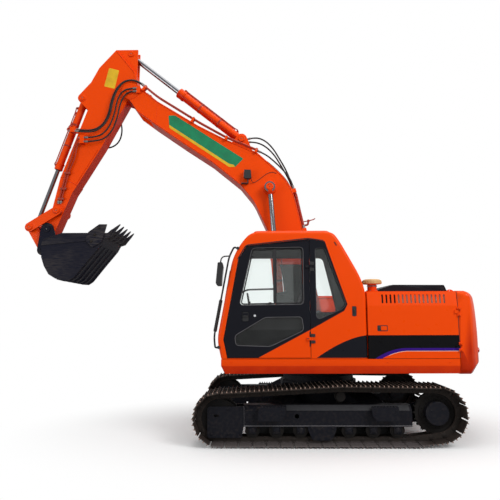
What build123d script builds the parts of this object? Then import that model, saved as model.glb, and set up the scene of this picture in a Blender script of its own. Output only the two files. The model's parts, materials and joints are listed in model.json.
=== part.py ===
"""Crawler excavator of the 14 tonne class, as separate pieces on their real pivots.

Row frame: X forward, Y to the machine's left, Z up, ground at Z = 0, all in millimetres.
Side outlines are drawn from the swing axis, which stands SWING_X from the row's origin.
"""
from build123d import *
from math import radians, tan
import os

os.makedirs("parts", exist_ok=True)

SWING_X = -1120

# Pivots in the side view, from the swing axis, X then Z.
BOOM_FOOT = (50, 1600)
BOOM_TIP = (2915, 5213)
BOOM_CYL_FOOT = (520, 1250)
BOOM_CYL_EYE = (710, 3606)
ARM_CYL_FOOT = (1146, 4438)
ARM_CYL_EYE = (2940, 5885)
ARM_TIP = (4146, 2993)
ROCKER_PIN = (3997, 3276)
ROCKER_END = (4405, 3020)
BUCKET_LINK_PIN = (4200, 2670)
BUCKET_CYL_FOOT = (3696, 5129)

# Track
TRACK_Y = 995
SHOE_WIDTH = 500
SHOE_COUNT = 43
RAIL_Y = 70
RAIL_WIDTH = 30
RAIL_OUTER_DEPTH = 30
RAIL_INNER_DEPTH = 110
PLATE_DEPTH = 34
SPROCKET = (-1393, 404)
IDLER = (1400, 350)
CARRIER = (-170, 609)
LOOP_CIRCLES = [(1400, 350, 346), (-1393, 404, 357), (-1050, 350, 350), (-170, 600, 180)]
ROLLER_Z = 195
ROLLER_XS = [-880, -570, -260, 50, 360, 670, 980]

# Front equipment, half widths
BOOM_HALF = 180
BOOM_PLATE = 14
FORK_HALF = 146
ARM_HALF = 130
ARM_PLATE = 12
BOOM_CYL_Y = 285
ROCKER_INNER = 186
ROCKER_OUTER = 211
EAR_INNER = 142
EAR_OUTER = 176
BUCKET_HALF = 470

# House
DECK_Z = 1100
HOUSE_TOP = 1972
SIDE_Y = 1200
TAIL_RADIUS = 2240
CAB_RIGHT_Y = 385
DOOR_HINGE_X = 205


def side(y):
    """Sketch plane at a given Y: local x is forward, local y is up, extrusions run to -Y."""
    return Plane(origin=(SWING_X, y, 0), x_dir=(1, 0, 0), z_dir=(0, -1, 0))


def level(z):
    """Sketch plane at a given height: local x is forward, local y is left."""
    return Plane(origin=(SWING_X, 0, z), x_dir=(1, 0, 0), z_dir=(0, 0, 1))


def across(x):
    """Sketch plane across the machine: local x is Y, local y is Z, extrusions run forward."""
    return Plane(origin=(SWING_X + x, 0, 0), x_dir=(0, 1, 0), z_dir=(1, 0, 0))


def slab(outline, y_low, y_high, radius=0):
    """A plate with a side outline, between two Y planes, its corners rounded if asked."""
    with BuildPart() as body:
        with BuildSketch(side(y_high)):
            with BuildLine():
                if radius:
                    FilletPolyline(*outline, radius=radius, close=True)
                else:
                    Polyline(*outline, close=True)
            make_face()
        extrude(amount=y_high - y_low)
    return body.part


def shaft(centre, radius, y_low, y_high):
    """A cylinder across the machine, round a side-view centre."""
    with BuildPart() as body:
        with BuildSketch(side(y_high)):
            with Locations(centre):
                Circle(radius)
        extrude(amount=y_high - y_low)
    return body.part


def block(xs, ys, zs):
    """A box between pairs of X, Y and Z values."""
    with BuildPart() as body:
        with BuildSketch(level(zs[0])):
            with Locations(((xs[0] + xs[1]) / 2, (ys[0] + ys[1]) / 2)):
                Rectangle(xs[1] - xs[0], ys[1] - ys[0])
        extrude(amount=zs[1] - zs[0])
    return body.part


def post(x, y, radius, z_low, z_high):
    """An upright cylinder."""
    with BuildPart() as body:
        with BuildSketch(level(z_low)):
            with Locations((x, y)):
                Circle(radius)
        extrude(amount=z_high - z_low)
    return body.part


def link_plate(ends, radii, y_low, y_high):
    """A plate shaped as the hull of circles round side-view points."""
    with BuildPart() as body:
        with BuildSketch(side(y_high)):
            with BuildLine():
                for centre, radius in zip(ends, radii):
                    CenterArc(centre, radius, 0, 360)
            make_hull()
        extrude(amount=y_high - y_low)
    return body.part


def bend_radii(route):
    """Bend radii that leave a straight length on every run of a route."""
    radii = []
    for before, corner, after in zip(route, route[1:], route[2:]):
        run_in = Vector(*corner) - Vector(*before)
        run_out = Vector(*after) - Vector(*corner)
        half_turn = radians(run_in.get_angle(run_out)) / 2
        radii.append(0.45 * min(run_in.length, run_out.length) / tan(half_turn))
    return radii


def hose(route, radius):
    """A round tube along a side-view route of (x, y, z) corners, bent with tangent arcs."""
    points = [Vector(SWING_X + x, y, z) for x, y, z in route]
    way = (points[1] - points[0]).normalized()
    across_way = Vector(0, 1, 0) if abs(way.Y) < 0.9 else Vector(1, 0, 0)
    with BuildPart() as body:
        with BuildLine():
            FilletPolyline(*points, radius=bend_radii(route))
        with BuildSketch(Plane(origin=points[0], x_dir=way.cross(across_way), z_dir=way)):
            Circle(radius)
        sweep()
    return body.part


def unit(start, end):
    """Length of a side-view line and its unit direction."""
    run = Vector(end[0] - start[0], end[1] - start[1])
    return run.length, run.normalized()


def along(start, end, y):
    """Sketch plane square to a side-view line, at its start."""
    length, way = unit(start, end)
    return Plane(origin=(SWING_X + start[0], y, start[1]), x_dir=(0, 1, 0), z_dir=(way.X, 0, way.Y))


def tube_between(start, end, y, spans):
    """Turned lengths along a side-view line: each span is (from, to, radius)."""
    base = along(start, end, y)
    with BuildPart() as body:
        for low, high, radius in spans:
            with BuildSketch(base.offset(low)):
                Circle(radius)
            extrude(amount=high - low)
    return body.part


# ---------------------------------------------------------------- undercarriage

def loop_face(depth):
    """The track loop's face, a given depth inside the tips of the grousers."""
    with BuildSketch() as loop:
        with BuildLine():
            for x, z, radius in LOOP_CIRCLES:
                CenterArc((x, z), radius - depth, 0, 360)
        make_hull()
    return loop.sketch


SHOE_OUTLINE = [(-83, 0), (83, 0), (83, 14), (70, 14), (64, 34), (56, 34), (50, 14), (6, 14), (4, 34),
                (-4, 34), (-6, 14), (-50, 14), (-56, 34), (-64, 34), (-70, 14), (-83, 14)]


def shoe_planes(y):
    """A plane for each shoe round the loop, local y pointing out of the loop."""
    wire = loop_face(PLATE_DEPTH).face().outer_wire()
    centre = Vector(0, 400)
    planes = []
    for number in range(SHOE_COUNT):
        distance = wire.length * number / SHOE_COUNT
        at = wire.position_at(distance, position_mode=PositionMode.LENGTH)
        way = wire.tangent_at(distance, position_mode=PositionMode.LENGTH)
        outward = Vector(-way.Y, way.X)
        if outward.dot(at - centre) < 0:
            way = -way
        planes.append(Plane(origin=(SWING_X + at.X, y, at.Y), x_dir=(way.X, 0, way.Y), z_dir=(0, -1, 0)))
    return planes


def track(y):
    """One closed loop: two rows of chain links under triple-grouser shoes."""
    with BuildPart() as loop:
        for rail_y in (y - RAIL_Y, y + RAIL_Y):
            with BuildSketch(side(rail_y + RAIL_WIDTH / 2)):
                add(loop_face(RAIL_OUTER_DEPTH))
                add(loop_face(RAIL_INNER_DEPTH), mode=Mode.SUBTRACT)
            extrude(amount=RAIL_WIDTH)
        with BuildSketch(*shoe_planes(y + SHOE_WIDTH / 2)):
            with BuildLine():
                Polyline(*SHOE_OUTLINE, close=True)
            make_face()
        extrude(amount=SHOE_WIDTH)
    return loop.part


track_left = track(TRACK_Y)
track_left.label = "track_left"
export_step(track_left, "parts/track_left.step")

track_right = track(-TRACK_Y)
track_right.label = "track_right"
export_step(track_right, "parts/track_right.step")

FRAME_SECTION = [(870, 240), (870, 480), (900, 503), (1060, 503), (1120, 440), (1120, 240), (1106, 240),
                 (1106, 290), (884, 290), (884, 240)]
FRAME_HOLLOW = [(884, 304), (884, 474), (904, 489), (1054, 489), (1106, 434), (1106, 304)]
FRAME_XS = (-1070, 1091)
GUARD_OUTLINE = [(1091, 240), (1115, 105), (1540, 105), (1559, 130), (1559, 470), (1535, 493), (1091, 493)]

GUIDE_OUTLINE = [(-95, 250), (266, 250), (266, 200), (215, 92), (185, 74), (-15, 74), (-45, 92), (-95, 200)]


def track_frame():
    """The left track frame: a hollow beam with an idler guard in front and a motor plate behind."""
    with BuildPart() as frame:
        with BuildSketch(across(FRAME_XS[0])):
            with BuildLine():
                Polyline(*FRAME_SECTION, close=True)
            make_face()
        extrude(amount=FRAME_XS[1] - FRAME_XS[0])
        with BuildSketch(across(FRAME_XS[0] + 14)):
            with BuildLine():
                Polyline(*FRAME_HOLLOW, close=True)
            make_face()
        extrude(amount=FRAME_XS[1] - FRAME_XS[0] - 28, mode=Mode.SUBTRACT)
        for y_high in (1120, 890):
            add(slab(GUARD_OUTLINE, y_high - 20, y_high))
        add(slab([(-1070, 260), (-1393, 254), (-1480, 290), (-1540, 404), (-1480, 520), (-1393, 554),
                  (-1070, 490)], 870, 890))
        for x in ROLLER_XS:
            add(block((x - 45, x + 45), (1106, 1120), (150, 250)))
            add(block((x - 45, x + 45), (870, 884), (150, 250)))
        add(slab(GUIDE_OUTLINE, 1120, 1134))
        add(slab(GUIDE_OUTLINE, 856, 870))
        add(shaft((405, 372), 29, 1100, 1130), mode=Mode.SUBTRACT)
        with BuildSketch(side(1130)):
            with Locations((1442, 378)):
                SlotOverall(72, 34)
        extrude(amount=40, mode=Mode.SUBTRACT)
        add(block((1470, 1545), (1100, 1124), (395, 470)), mode=Mode.SUBTRACT)
        add(block((1470, 1545), (1096, 1112), (395, 470)))
    return frame.part


with BuildPart() as track_frames:
    add(track_frame())
    mirror(about=Plane.XZ)
track_frames.part.label = "track_frames"
export_step(track_frames.part, "parts/track_frames.step")

with BuildPart() as idlers:
    add(shaft(IDLER, 236, TRACK_Y - 90, TRACK_Y + 90))
    add(shaft(IDLER, 258, TRACK_Y - 45, TRACK_Y + 45))
    add(shaft(IDLER, 45, 890, 1100))
    mirror(about=Plane.XZ)
idlers.part.label = "front_idlers"
export_step(idlers.part, "parts/front_idlers.step")

SPROCKET_TEETH = 21

with BuildPart() as sprockets:
    with BuildSketch(side(TRACK_Y + 28)):
        with Locations(SPROCKET):
            Circle(262)
            with PolarLocations(262, SPROCKET_TEETH):
                Trapezoid(44, 40, 68, rotation=-90)
            Circle(150, mode=Mode.SUBTRACT)
    extrude(amount=56)
    mirror(about=Plane.XZ)
sprockets.part.label = "drive_sprockets"
export_step(sprockets.part, "parts/drive_sprockets.step")

with BuildPart() as final_drives:
    add(shaft(SPROCKET, 150, 890, 1075))
    add(shaft(SPROCKET, 128, 1075, 1120))
    add(shaft(SPROCKET, 120, 800, 870))
    mirror(about=Plane.XZ)
final_drives.part.label = "final_drives"
export_step(final_drives.part, "parts/final_drives.step")

with BuildPart() as track_rollers:
    for x in ROLLER_XS:
        add(shaft((x, ROLLER_Z), 78, 884, 1106))
        add(shaft((x, ROLLER_Z), 94, 1088, 1100))
        add(shaft((x, ROLLER_Z), 94, 890, 902))
    add(shaft(CARRIER, 58, TRACK_Y - 88, TRACK_Y + 88))
    add(shaft(CARRIER, 70, TRACK_Y - 45, TRACK_Y + 45))
    add(block((CARRIER[0] - 35, CARRIER[0] + 35), (885, 900), (503, CARRIER[1] + 30)))
    add(shaft(CARRIER, 22, 900, 907))
    mirror(about=Plane.XZ)
track_rollers.part.label = "track_rollers"
export_step(track_rollers.part, "parts/track_rollers.step")

LEG_ROOT = (370, 560, 330, 270)
LEG_END = (640, 385, 360, 190)
TOW_WEB = [(330, 480), (330, 640), (640, 600), (770, 520), (770, 480)]
TOW_PLATE = [(330, -170), (640, -150), (925, -75), (925, 75), (640, 150), (330, 170)]
TOW_HOLE_X = 855
TOW_HOLE_RADIUS = 28
TOW_LOW = 470
TOW_THICK = 40


def frame_leg(forward):
    """One leg of the centre frame, tapered from the ring out to a track frame."""
    with BuildPart() as leg:
        for y, (x, z, long, high) in ((300, LEG_ROOT), (870, LEG_END)):
            with BuildSketch(side(y)):
                with Locations((forward * x, z)):
                    Rectangle(long, high)
        loft()
    return leg.part


with BuildPart() as centre_frame:
    for forward in (1, -1):
        add(frame_leg(forward))
    mirror(about=Plane.XZ)
    for forward in (1, -1):
        add(slab([(forward * x, z) for x, z in TOW_WEB], -16, 16))
        with BuildSketch(level(TOW_LOW)):
            with BuildLine():
                Polyline(*[(forward * x, y) for x, y in TOW_PLATE], close=True)
            make_face()
            with Locations((forward * TOW_HOLE_X, 0)):
                Circle(TOW_HOLE_RADIUS, mode=Mode.SUBTRACT)
        extrude(amount=TOW_THICK)
    with BuildSketch(level(430)):
        Circle(560)
    extrude(amount=290)
    with BuildSketch(level(720)):
        Circle(520)
    extrude(amount=80)
    with BuildSketch(level(430)):
        Circle(380)
    extrude(amount=400, mode=Mode.SUBTRACT)
centre_frame.part.label = "centre_frame"
export_step(centre_frame.part, "parts/centre_frame.step")

with BuildPart() as swing_ring:
    with BuildSketch(level(800)):
        Circle(500)
        Circle(400, mode=Mode.SUBTRACT)
    extrude(amount=62)
swing_ring.part.label = "swing_bearing"
export_step(swing_ring.part, "parts/swing_bearing.step")

STEP_PLATE = [(551, 500), (890, 500), (905, 440), (905, 330), (617, 330), (563, 400)]
STEP_WIDTH = 104


def track_step(outline):
    """A step: a pressed plate hung off the beam by two webs, with a toothed tread on top."""
    x_low = min(x for x, z in outline)
    x_high = max(x for x, z in outline)
    with BuildPart() as step:
        add(slab(outline, 1120 + STEP_WIDTH - 8, 1120 + STEP_WIDTH))
        for x in (x_low + 40, x_high - 52):
            add(block((x, x + 12), (1120, 1120 + STEP_WIDTH), (400, 500)))
        for number in range(3):
            y = 1132 + 34 * number
            add(block((x_low + 4, x_high - 20), (y, y + 8), (478, 500)))
    return step.part


with BuildPart() as track_steps:
    add(track_step(STEP_PLATE))
    add(track_step([(-x + 20, z) for x, z in STEP_PLATE]))
    mirror(about=Plane.XZ)
track_steps.part.label = "track_steps"
export_step(track_steps.part, "parts/track_steps.step")

# ---------------------------------------------------------------- upper structure

HINGE_PIN = 5


def upright_knuckle(x, y, z_low, z_high, radius, x_far, y_foot):
    """A hinge knuckle round an upright axis, with a leaf that reaches along X and down to a panel's face."""
    with BuildPart() as knuckle:
        add(post(x, y, radius, z_low, z_high))
        add(block((min(x, x_far), max(x, x_far)), (y - 6, y + 5), (z_low, z_high)))
        near = x + (x_far - x) / 2
        add(block((min(near, x_far), max(near, x_far)), (min(y_foot, y), max(y_foot, y)), (z_low, z_high)))
    return knuckle.part


def upright_hinge_half(x, y, z, radius, x_far, y_foot, fixed):
    """Half of a three-knuckle hinge: the outer knuckles with the pin, or the bored middle one."""
    with BuildPart() as half:
        if fixed:
            add(upright_knuckle(x, y, z - 60, z - 21, radius, x_far, y_foot))
            add(upright_knuckle(x, y, z + 21, z + 60, radius, x_far, y_foot))
            add(post(x, y, HINGE_PIN, z - 60, z + 60))
        else:
            add(upright_knuckle(x, y, z - 20, z + 20, radius, x_far, y_foot))
            add(post(x, y, HINGE_PIN + 0.5, z - 30, z + 30), mode=Mode.SUBTRACT)
    return half.part


CAB_HINGE_Y = 1215
SIDE_HINGE = (-1688, 1210)
HOOD_HINGE = (-690, 1984)

BRACKET_OUTLINE = [(-330, 1100), (-120, 1640), (-20, 1730), (110, 1740), (190, 1660), (560, 1350), (640, 1290),
                   (640, 1100)]

with BuildPart() as revolving_frame:
    with BuildSketch(level(1080)):
        with BuildLine():
            Polyline((1370, 1188), (1370, 385), (790, 385), (790, -385), (1370, -385), (1370, -1188), (-1690, -1188),
                     (-1690, 1188), close=True)
        make_face()
    extrude(amount=20)
    for y_high in (520, -500, 218, -196):
        add(block((-1690, 780), (y_high - 20, y_high), (914, 1080)))
    with BuildSketch(level(868)):
        Circle(500)
        Circle(400, mode=Mode.SUBTRACT)
    extrude(amount=212)
    for y_high in (218, -196):
        add(slab(BRACKET_OUTLINE, y_high - 22, y_high))
    for y_low in (352, -374):
        add(slab([(420, 1100), (420, 1280), (470, 1340), (570, 1340), (620, 1280), (620, 1100)], y_low,
                 y_low + 22))
    add(shaft(BOOM_FOOT, 50, -226, 226))
    for y_low in (200, -378):
        add(shaft(BOOM_CYL_FOOT, 40, y_low, y_low + 178))
revolving_frame.part.label = "revolving_frame"
export_step(revolving_frame.part, "parts/revolving_frame.step")

with BuildPart() as side_skirts:
    with BuildSketch(across(-1690)):
        with BuildLine():
            Polyline((SIDE_Y - 12, 1100), (SIDE_Y, 1100), (SIDE_Y, 1013), (SIDE_Y - 25, 914), (SIDE_Y - 37, 914),
                     (SIDE_Y - 12, 1013), close=True)
        make_face()
    extrude(amount=3070)
    mirror(about=Plane.XZ)
side_skirts.part.label = "side_skirts"
export_step(side_skirts.part, "parts/side_skirts.step")

with BuildPart() as counterweight:
    with BuildSketch(level(905)):
        with BuildLine():
            rear = ThreePointArc((-1955, 1093), (-TAIL_RADIUS, 0), (-1955, -1093))
            Polyline((-1955, -1093), (-1870, -SIDE_Y), (-1698, -SIDE_Y), (-1698, SIDE_Y), (-1870, SIDE_Y),
                     (-1955, 1093))
        make_face()
    extrude(amount=1071)
    corners = counterweight.edges().filter_by(Axis.Z).filter_by(lambda edge: edge.center().X < SWING_X - 1750)
    fillet(corners, 90)
    rim = counterweight.faces().sort_by(Axis.Z)[-1].edges()
    fillet(rim.filter_by(lambda edge: edge.center().X < SWING_X - 1710), 85)
    foot = counterweight.faces().sort_by(Axis.Z)[0].edges()
    chamfer(foot.filter_by(lambda edge: edge.center().X < SWING_X - 1710), 60)
    add(block((-1990, -1698), (-900, 900), (1100, 1880)), mode=Mode.SUBTRACT)
    for y in (-560, 560):
        add(slab([(-1900, 1965), (-1880, 2005), (-1850, 2020), (-1820, 2020), (-1790, 2005), (-1770, 1965)],
                 y - 15, y + 15))
        add(shaft((-1835, 1993), 14, y - 20, y + 20), mode=Mode.SUBTRACT)
    for z in (1250, 1700):
        half = upright_hinge_half(*SIDE_HINGE, z, 8, SIDE_HINGE[0] - 42, 1196, True)
        add(half)
        add(mirror(half, about=Plane.XZ, mode=Mode.PRIVATE))
counterweight.part.label = "counterweight"
export_step(counterweight.part, "parts/counterweight.step")

DECK_TOP = 1972
HOOD_XS = (-1690, -705)
HOOD_HALF = 840

with BuildPart() as house_panels:
    with BuildSketch(level(1935)):
        with BuildLine():
            Polyline((-522, 1122), (-522, -385), (-60, -385), (-60, -1190), (-522, -1190), (-522, -1122),
                     (-1690, -1122), (-1690, 1122), close=True)
        make_face()
        with Locations(((HOOD_XS[0] + HOOD_XS[1]) / 2, 0)):
            Rectangle(HOOD_XS[1] - HOOD_XS[0] - 60, 2 * HOOD_HALF - 60, mode=Mode.SUBTRACT)
    extrude(amount=37)
    add(block((-560, -524), (-385, 1122), (1100, 1940)))
    add(block((-600, -560), (-1122, -345), (1100, 1940)))
    for y_low in (1092, -1122):
        add(block((-1690, -1660), (y_low, y_low + 30), (1100, 1940)))
    for y in (520, -520):
        add(shaft(HOOD_HINGE, 10, y - 30, y + 30))
        add(block((-700, -680), (y - 30, y + 30), (1965, 1984)))
        add(shaft(HOOD_HINGE, HINGE_PIN, y - 100, y + 100))
house_panels.part.label = "house_panels"
export_step(house_panels.part, "parts/house_panels.step")

with BuildPart() as tanks:
    for x_low, x_high in ((-520, -70), (-60, 570)):
        add(block((x_low, x_high), (-1190, -400), (1100, 1930)))
        add(block((x_low + 8, x_high - 8), (-1182, -408), (1108, 1922)), mode=Mode.SUBTRACT)
tanks.part.label = "side_tanks"
export_step(tanks.part, "parts/side_tanks.step")

with BuildPart() as tool_box:
    add(block((580, 1330), (-1190, -420), (1100, 1520)))
    add(block((586, 1324), (-1184, -426), (1106, 1514)), mode=Mode.SUBTRACT)
tool_box.part.label = "tool_box"
export_step(tool_box.part, "parts/tool_box.step")

with BuildPart() as engine:
    add(block((-1500, -800), (-520, 520), (1110, 1800)))
engine.part.label = "engine_block"
export_step(engine.part, "parts/engine_block.step")

with BuildPart() as pre_cleaner:
    add(post(-640, 980, 62, DECK_TOP, 2090))
    add(post(-640, 980, 125, 2090, 2120))
    add(post(-640, 980, 100, 2120, 2135))
    add(post(-640, 980, 80, DECK_TOP, DECK_TOP + 14))
pre_cleaner.part.label = "pre_cleaner"
export_step(pre_cleaner.part, "parts/pre_cleaner.step")

LOUVRE_XS = [-724 - 53.5 * number for number in range(16)]
DOOR_SECTION = [(1160, 1106), (1200, 1106), (1200, 1781), (1172, 1965), (1132, 1965), (1160, 1781)]
DOOR_HOLLOW = [(1150, 1112), (1194, 1112), (1194, 1780), (1167, 1959), (1100, 1959), (1150, 1780)]
LATCH = (-712, 1490)


def side_door():
    """A rear side door: a pressed panel that leans in above its bend, with upright louvre slots."""
    with BuildPart() as door:
        for x_low, x_high, section, mode in ((-1690, -526, DOOR_SECTION, Mode.ADD),
                                             (-1684, -532, DOOR_HOLLOW, Mode.SUBTRACT)):
            with BuildSketch(across(x_low)):
                with BuildLine():
                    Polyline(*section, close=True)
                make_face()
            extrude(amount=x_high - x_low, mode=mode)
        with BuildSketch(side(1210)):
            with Locations(*[(x, 1870) for x in LOUVRE_XS]):
                Rectangle(24, 112)
        extrude(amount=60, mode=Mode.SUBTRACT)
        with BuildSketch(side(1200)):
            with Locations(LATCH):
                Rectangle(140, 82)
        extrude(amount=3, mode=Mode.SUBTRACT)
        for z in (1250, 1700):
            add(upright_hinge_half(*SIDE_HINGE, z, 8, SIDE_HINGE[0] + 42, 1196, False))
    return door.part


left_door = side_door()
left_door.label = "left_side_door"
export_step(left_door, "parts/left_side_door.step")

right_door = mirror(side_door(), about=Plane.XZ)
right_door.label = "right_side_door"
export_step(right_door, "parts/right_side_door.step")

HOOD_OUTLINE = [(-1690, 1978), (-1690, 2070), (-960, 2075), (-705, 1990), (-705, 1978)]
HOOD_HOLLOW = [(-1680, 1970), (-1680, 2062), (-962, 2067), (-715, 1986), (-715, 1970)]

with BuildPart() as hood:
    add(slab(HOOD_OUTLINE, -HOOD_HALF, HOOD_HALF))
    add(slab(HOOD_HOLLOW, -HOOD_HALF + 10, HOOD_HALF - 10), mode=Mode.SUBTRACT)
    for y_low in (552, 432, -488, -608):
        add(shaft(HOOD_HINGE, 10, y_low, y_low + 56))
        add(block((-722, -690), (y_low, y_low + 56), (1979, 1991)))
        add(shaft(HOOD_HINGE, HINGE_PIN + 0.5, y_low - 5, y_low + 61), mode=Mode.SUBTRACT)
    for number in range(9):
        x = -1620 + number * 76
        add(block((x, x + 30), (-600, 600), (2060, 2084)))
    add(slab([(-1690, 1990), (-1690, 2070), (-1660, 2070), (-1660, 1990)], -HOOD_HALF - 8, HOOD_HALF + 8))
hood.part.label = "engine_hood"
export_step(hood.part, "parts/engine_hood.step")

# ---------------------------------------------------------------- cab

CAB_OUTLINE = [(1380, 1102), (1436, 1345), (1234, 2418), (1121, 2621), (985, 2770), (-95, 2770), (-188, 2643),
               (-441, 2182), (-513, 1973), (-513, 1102)]
CAB_INNER = [(1335, 1142), (1390, 1350), (1192, 2402), (1088, 2590), (965, 2700), (-75, 2700), (-150, 2622),
             (-402, 2166), (-473, 1965), (-473, 1142)]
DOOR_OUTLINE = [(222, 1118), (222, 2640), (1050, 2560), (1150, 2400), (1345, 1350), (1295, 1118)]
DOOR_OPENING = [(215, 1111), (215, 2648), (1054, 2568), (1157, 2404), (1352, 1350), (1301, 1111)]
QUARTER_WINDOW = [(143, 2543), (14, 2542), (-251, 1800), (-200, 1740), (105, 1605), (143, 1640)]
DOOR_WINDOW = [(300, 1802), (300, 2557), (975, 2546), (1148, 1790)]
LOW_WINDOW = [(305, 1467), (329, 1640), (809, 1635), (1204, 1400), (1189, 1274), (740, 1260)]
RIGHT_WINDOW = [(1040, 2500), (1200, 1700), (-250, 1700), (-60, 2500)]

with BuildPart() as cab_left:
    add(slab(CAB_OUTLINE, 1160, SIDE_Y))
    add(slab(DOOR_OPENING, 1150, 1210), mode=Mode.SUBTRACT)
    add(slab(QUARTER_WINDOW, 1150, 1210, radius=30), mode=Mode.SUBTRACT)
    rim = cab_left.faces().sort_by(Axis.Y)[-1].outer_wire().edges()
    rim = rim.filter_by(lambda edge: edge.center().Z > 1120 and edge.center().X > SWING_X - 500)
    fillet(rim.filter_by(lambda edge: edge.center().X > SWING_X + 1150 or edge.center().Z > 2060
                         or edge.center().X < SWING_X - 200), 24)
    for z in (1360, 2300):
        add(upright_hinge_half(DOOR_HINGE_X, CAB_HINGE_Y, z, 11, DOOR_HINGE_X - 45, 1196, True))
    add(slab([(-386, 1780), (-321, 1780), (-321, 1640), (-386, 1640)], 1192, 1210, radius=20), mode=Mode.SUBTRACT)
    add(slab([(-146, 2626), (-112, 2626), (-102, 2570), (-136, 2570)], 1190, 1210, radius=10), mode=Mode.SUBTRACT)
cab_left.part.label = "cab_left_side"
export_step(cab_left.part, "parts/cab_left_side.step")

with BuildPart() as cab_right:
    add(slab(CAB_OUTLINE, CAB_RIGHT_Y, CAB_RIGHT_Y + 40))
    add(slab(RIGHT_WINDOW, CAB_RIGHT_Y - 10, CAB_RIGHT_Y + 50, radius=60), mode=Mode.SUBTRACT)
cab_right.part.label = "cab_right_side"
export_step(cab_right.part, "parts/cab_right_side.step")

CAB_IN_LOW = CAB_RIGHT_Y + 40
CAB_IN_HIGH = 1160


def cab_band(window):
    """The cab's wrap between its side panels, kept where the window outline box falls."""
    with BuildPart() as band:
        add(slab(CAB_OUTLINE, CAB_IN_LOW, CAB_IN_HIGH))
        add(slab(CAB_INNER, CAB_IN_LOW, CAB_IN_HIGH), mode=Mode.SUBTRACT)
        add(window, mode=Mode.INTERSECT)
    return band.part


with BuildPart() as cab_front:
    add(cab_band(block((1142, 1500), (0, 1300), (1142, 2621))))
    add(block((1100, 1500), (CAB_IN_LOW + 60, CAB_IN_HIGH - 60), (1700, 2388)), mode=Mode.SUBTRACT)
    add(block((1100, 1500), (CAB_IN_LOW + 60, CAB_IN_HIGH - 60), (1220, 1640)), mode=Mode.SUBTRACT)
cab_front.part.label = "cab_front"
export_step(cab_front.part, "parts/cab_front.step")

with BuildPart() as cab_roof:
    add(cab_band(block((-300, 1142), (0, 1300), (2560, 2800))))
    with BuildSketch(level(2770)):
        with Locations((445, 792)):
            RectangleRounded(1080, 780, 60)
    extrude(amount=35, taper=30)
cab_roof.part.label = "cab_roof"
export_step(cab_roof.part, "parts/cab_roof.step")

with BuildPart() as cab_rear:
    add(cab_band(block((-600, -80), (0, 1300), (1142, 2560))))
    add(block((-600, -80), (CAB_IN_LOW + 80, CAB_IN_HIGH - 80), (1950, 2480)), mode=Mode.SUBTRACT)
cab_rear.part.label = "cab_rear"
export_step(cab_rear.part, "parts/cab_rear.step")

with BuildPart() as cab_floor:
    add(cab_band(block((-600, 1500), (0, 1300), (1100, 1142))))
cab_floor.part.label = "cab_floor"
export_step(cab_floor.part, "parts/cab_floor.step")


FRONT_FACE = ((1390, 1350), (1192, 2402))
FOOT_FACE = ((1335, 1142), (1390, 1350))
REAR_FACE = ((-473, 1965), (-402, 2166))
REAR_SLOPE = ((-402, 2166), (-150, 2622))
PANE = 6


def pane(face, z_low, z_high, inward):
    """The side outline of a pane lying on a straight inner face of the cab."""
    (x0, z0), (x1, z1) = face
    low = x0 + (x1 - x0) * (z_low - z0) / (z1 - z0)
    high = x0 + (x1 - x0) * (z_high - z0) / (z1 - z0)
    return [(low, z_low), (high, z_high), (high + inward * PANE, z_high), (low + inward * PANE, z_low)]


with BuildPart() as cab_glass:
    add(slab([(153, 2553), (7, 2552), (-262, 1798), (-205, 1731), (105, 1594), (153, 1635)], 1154, 1160))
    add(slab([(1052, 2512), (1216, 1688), (-268, 1688), (-68, 2512)], CAB_IN_LOW, CAB_IN_LOW + 6))
    add(slab(pane(FRONT_FACE, 1688, 2400, -1), CAB_IN_LOW + 45, CAB_IN_HIGH - 45))
    add(slab(pane(FRONT_FACE, 1356, 1652, -1), CAB_IN_LOW + 45, CAB_IN_HIGH - 45))
    add(slab(pane(FOOT_FACE, 1208, 1346, -1), CAB_IN_LOW + 45, CAB_IN_HIGH - 45))
    add(slab(pane(REAR_FACE, 1966, 2160, 1), CAB_IN_LOW + 65, CAB_IN_HIGH - 65))
    add(slab(pane(REAR_SLOPE, 2178, 2495, 1), CAB_IN_LOW + 65, CAB_IN_HIGH - 65))
cab_glass.part.label = "cab_side_glass"
export_step(cab_glass.part, "parts/cab_side_glass.step")

with BuildPart() as cab_door:
    add(slab(DOOR_OUTLINE, 1166, SIDE_Y))
    add(slab(DOOR_WINDOW, 1150, 1210, radius=50), mode=Mode.SUBTRACT)
    add(slab(LOW_WINDOW, 1150, 1210, radius=40), mode=Mode.SUBTRACT)
    rim = cab_door.faces().sort_by(Axis.Y)[-1].inner_wires()
    chamfer([edge for wire in rim for edge in wire.edges()], 8)
    for z in (1360, 2300):
        add(upright_hinge_half(DOOR_HINGE_X, CAB_HINGE_Y, z, 11, DOOR_HINGE_X + 65, 1196, False))
    add(slab([(1015, 1579), (1015, 1709), (1113, 1709), (1113, 1579)], 1188, 1210, radius=14), mode=Mode.SUBTRACT)
    add(slab([(1030, 1690), (1030, 1660), (1098, 1660), (1098, 1690)], 1186, 1198))
cab_door.part.label = "cab_door"
export_step(cab_door.part, "parts/cab_door.step")

with BuildPart() as door_glass:
    add(slab([(288, 1790), (288, 2569), (985, 2558), (1162, 1778)], 1160, 1166))
    add(slab([(293, 1460), (318, 1652), (812, 1647), (1217, 1407), (1200, 1264), (738, 1248)], 1160, 1166))
door_glass.part.label = "cab_door_glass"
export_step(door_glass.part, "parts/cab_door_glass.step")

with BuildPart() as seat:
    add(block((250, 730), (560, 1020), (1430, 1560)))
    add(slab([(250, 1560), (130, 2150), (230, 2170), (370, 1560)], 570, 1010))
    add(block((320, 650), (640, 940), (1142, 1430)))
seat.part.label = "operator_seat"
export_step(seat.part, "parts/operator_seat.step")

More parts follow.
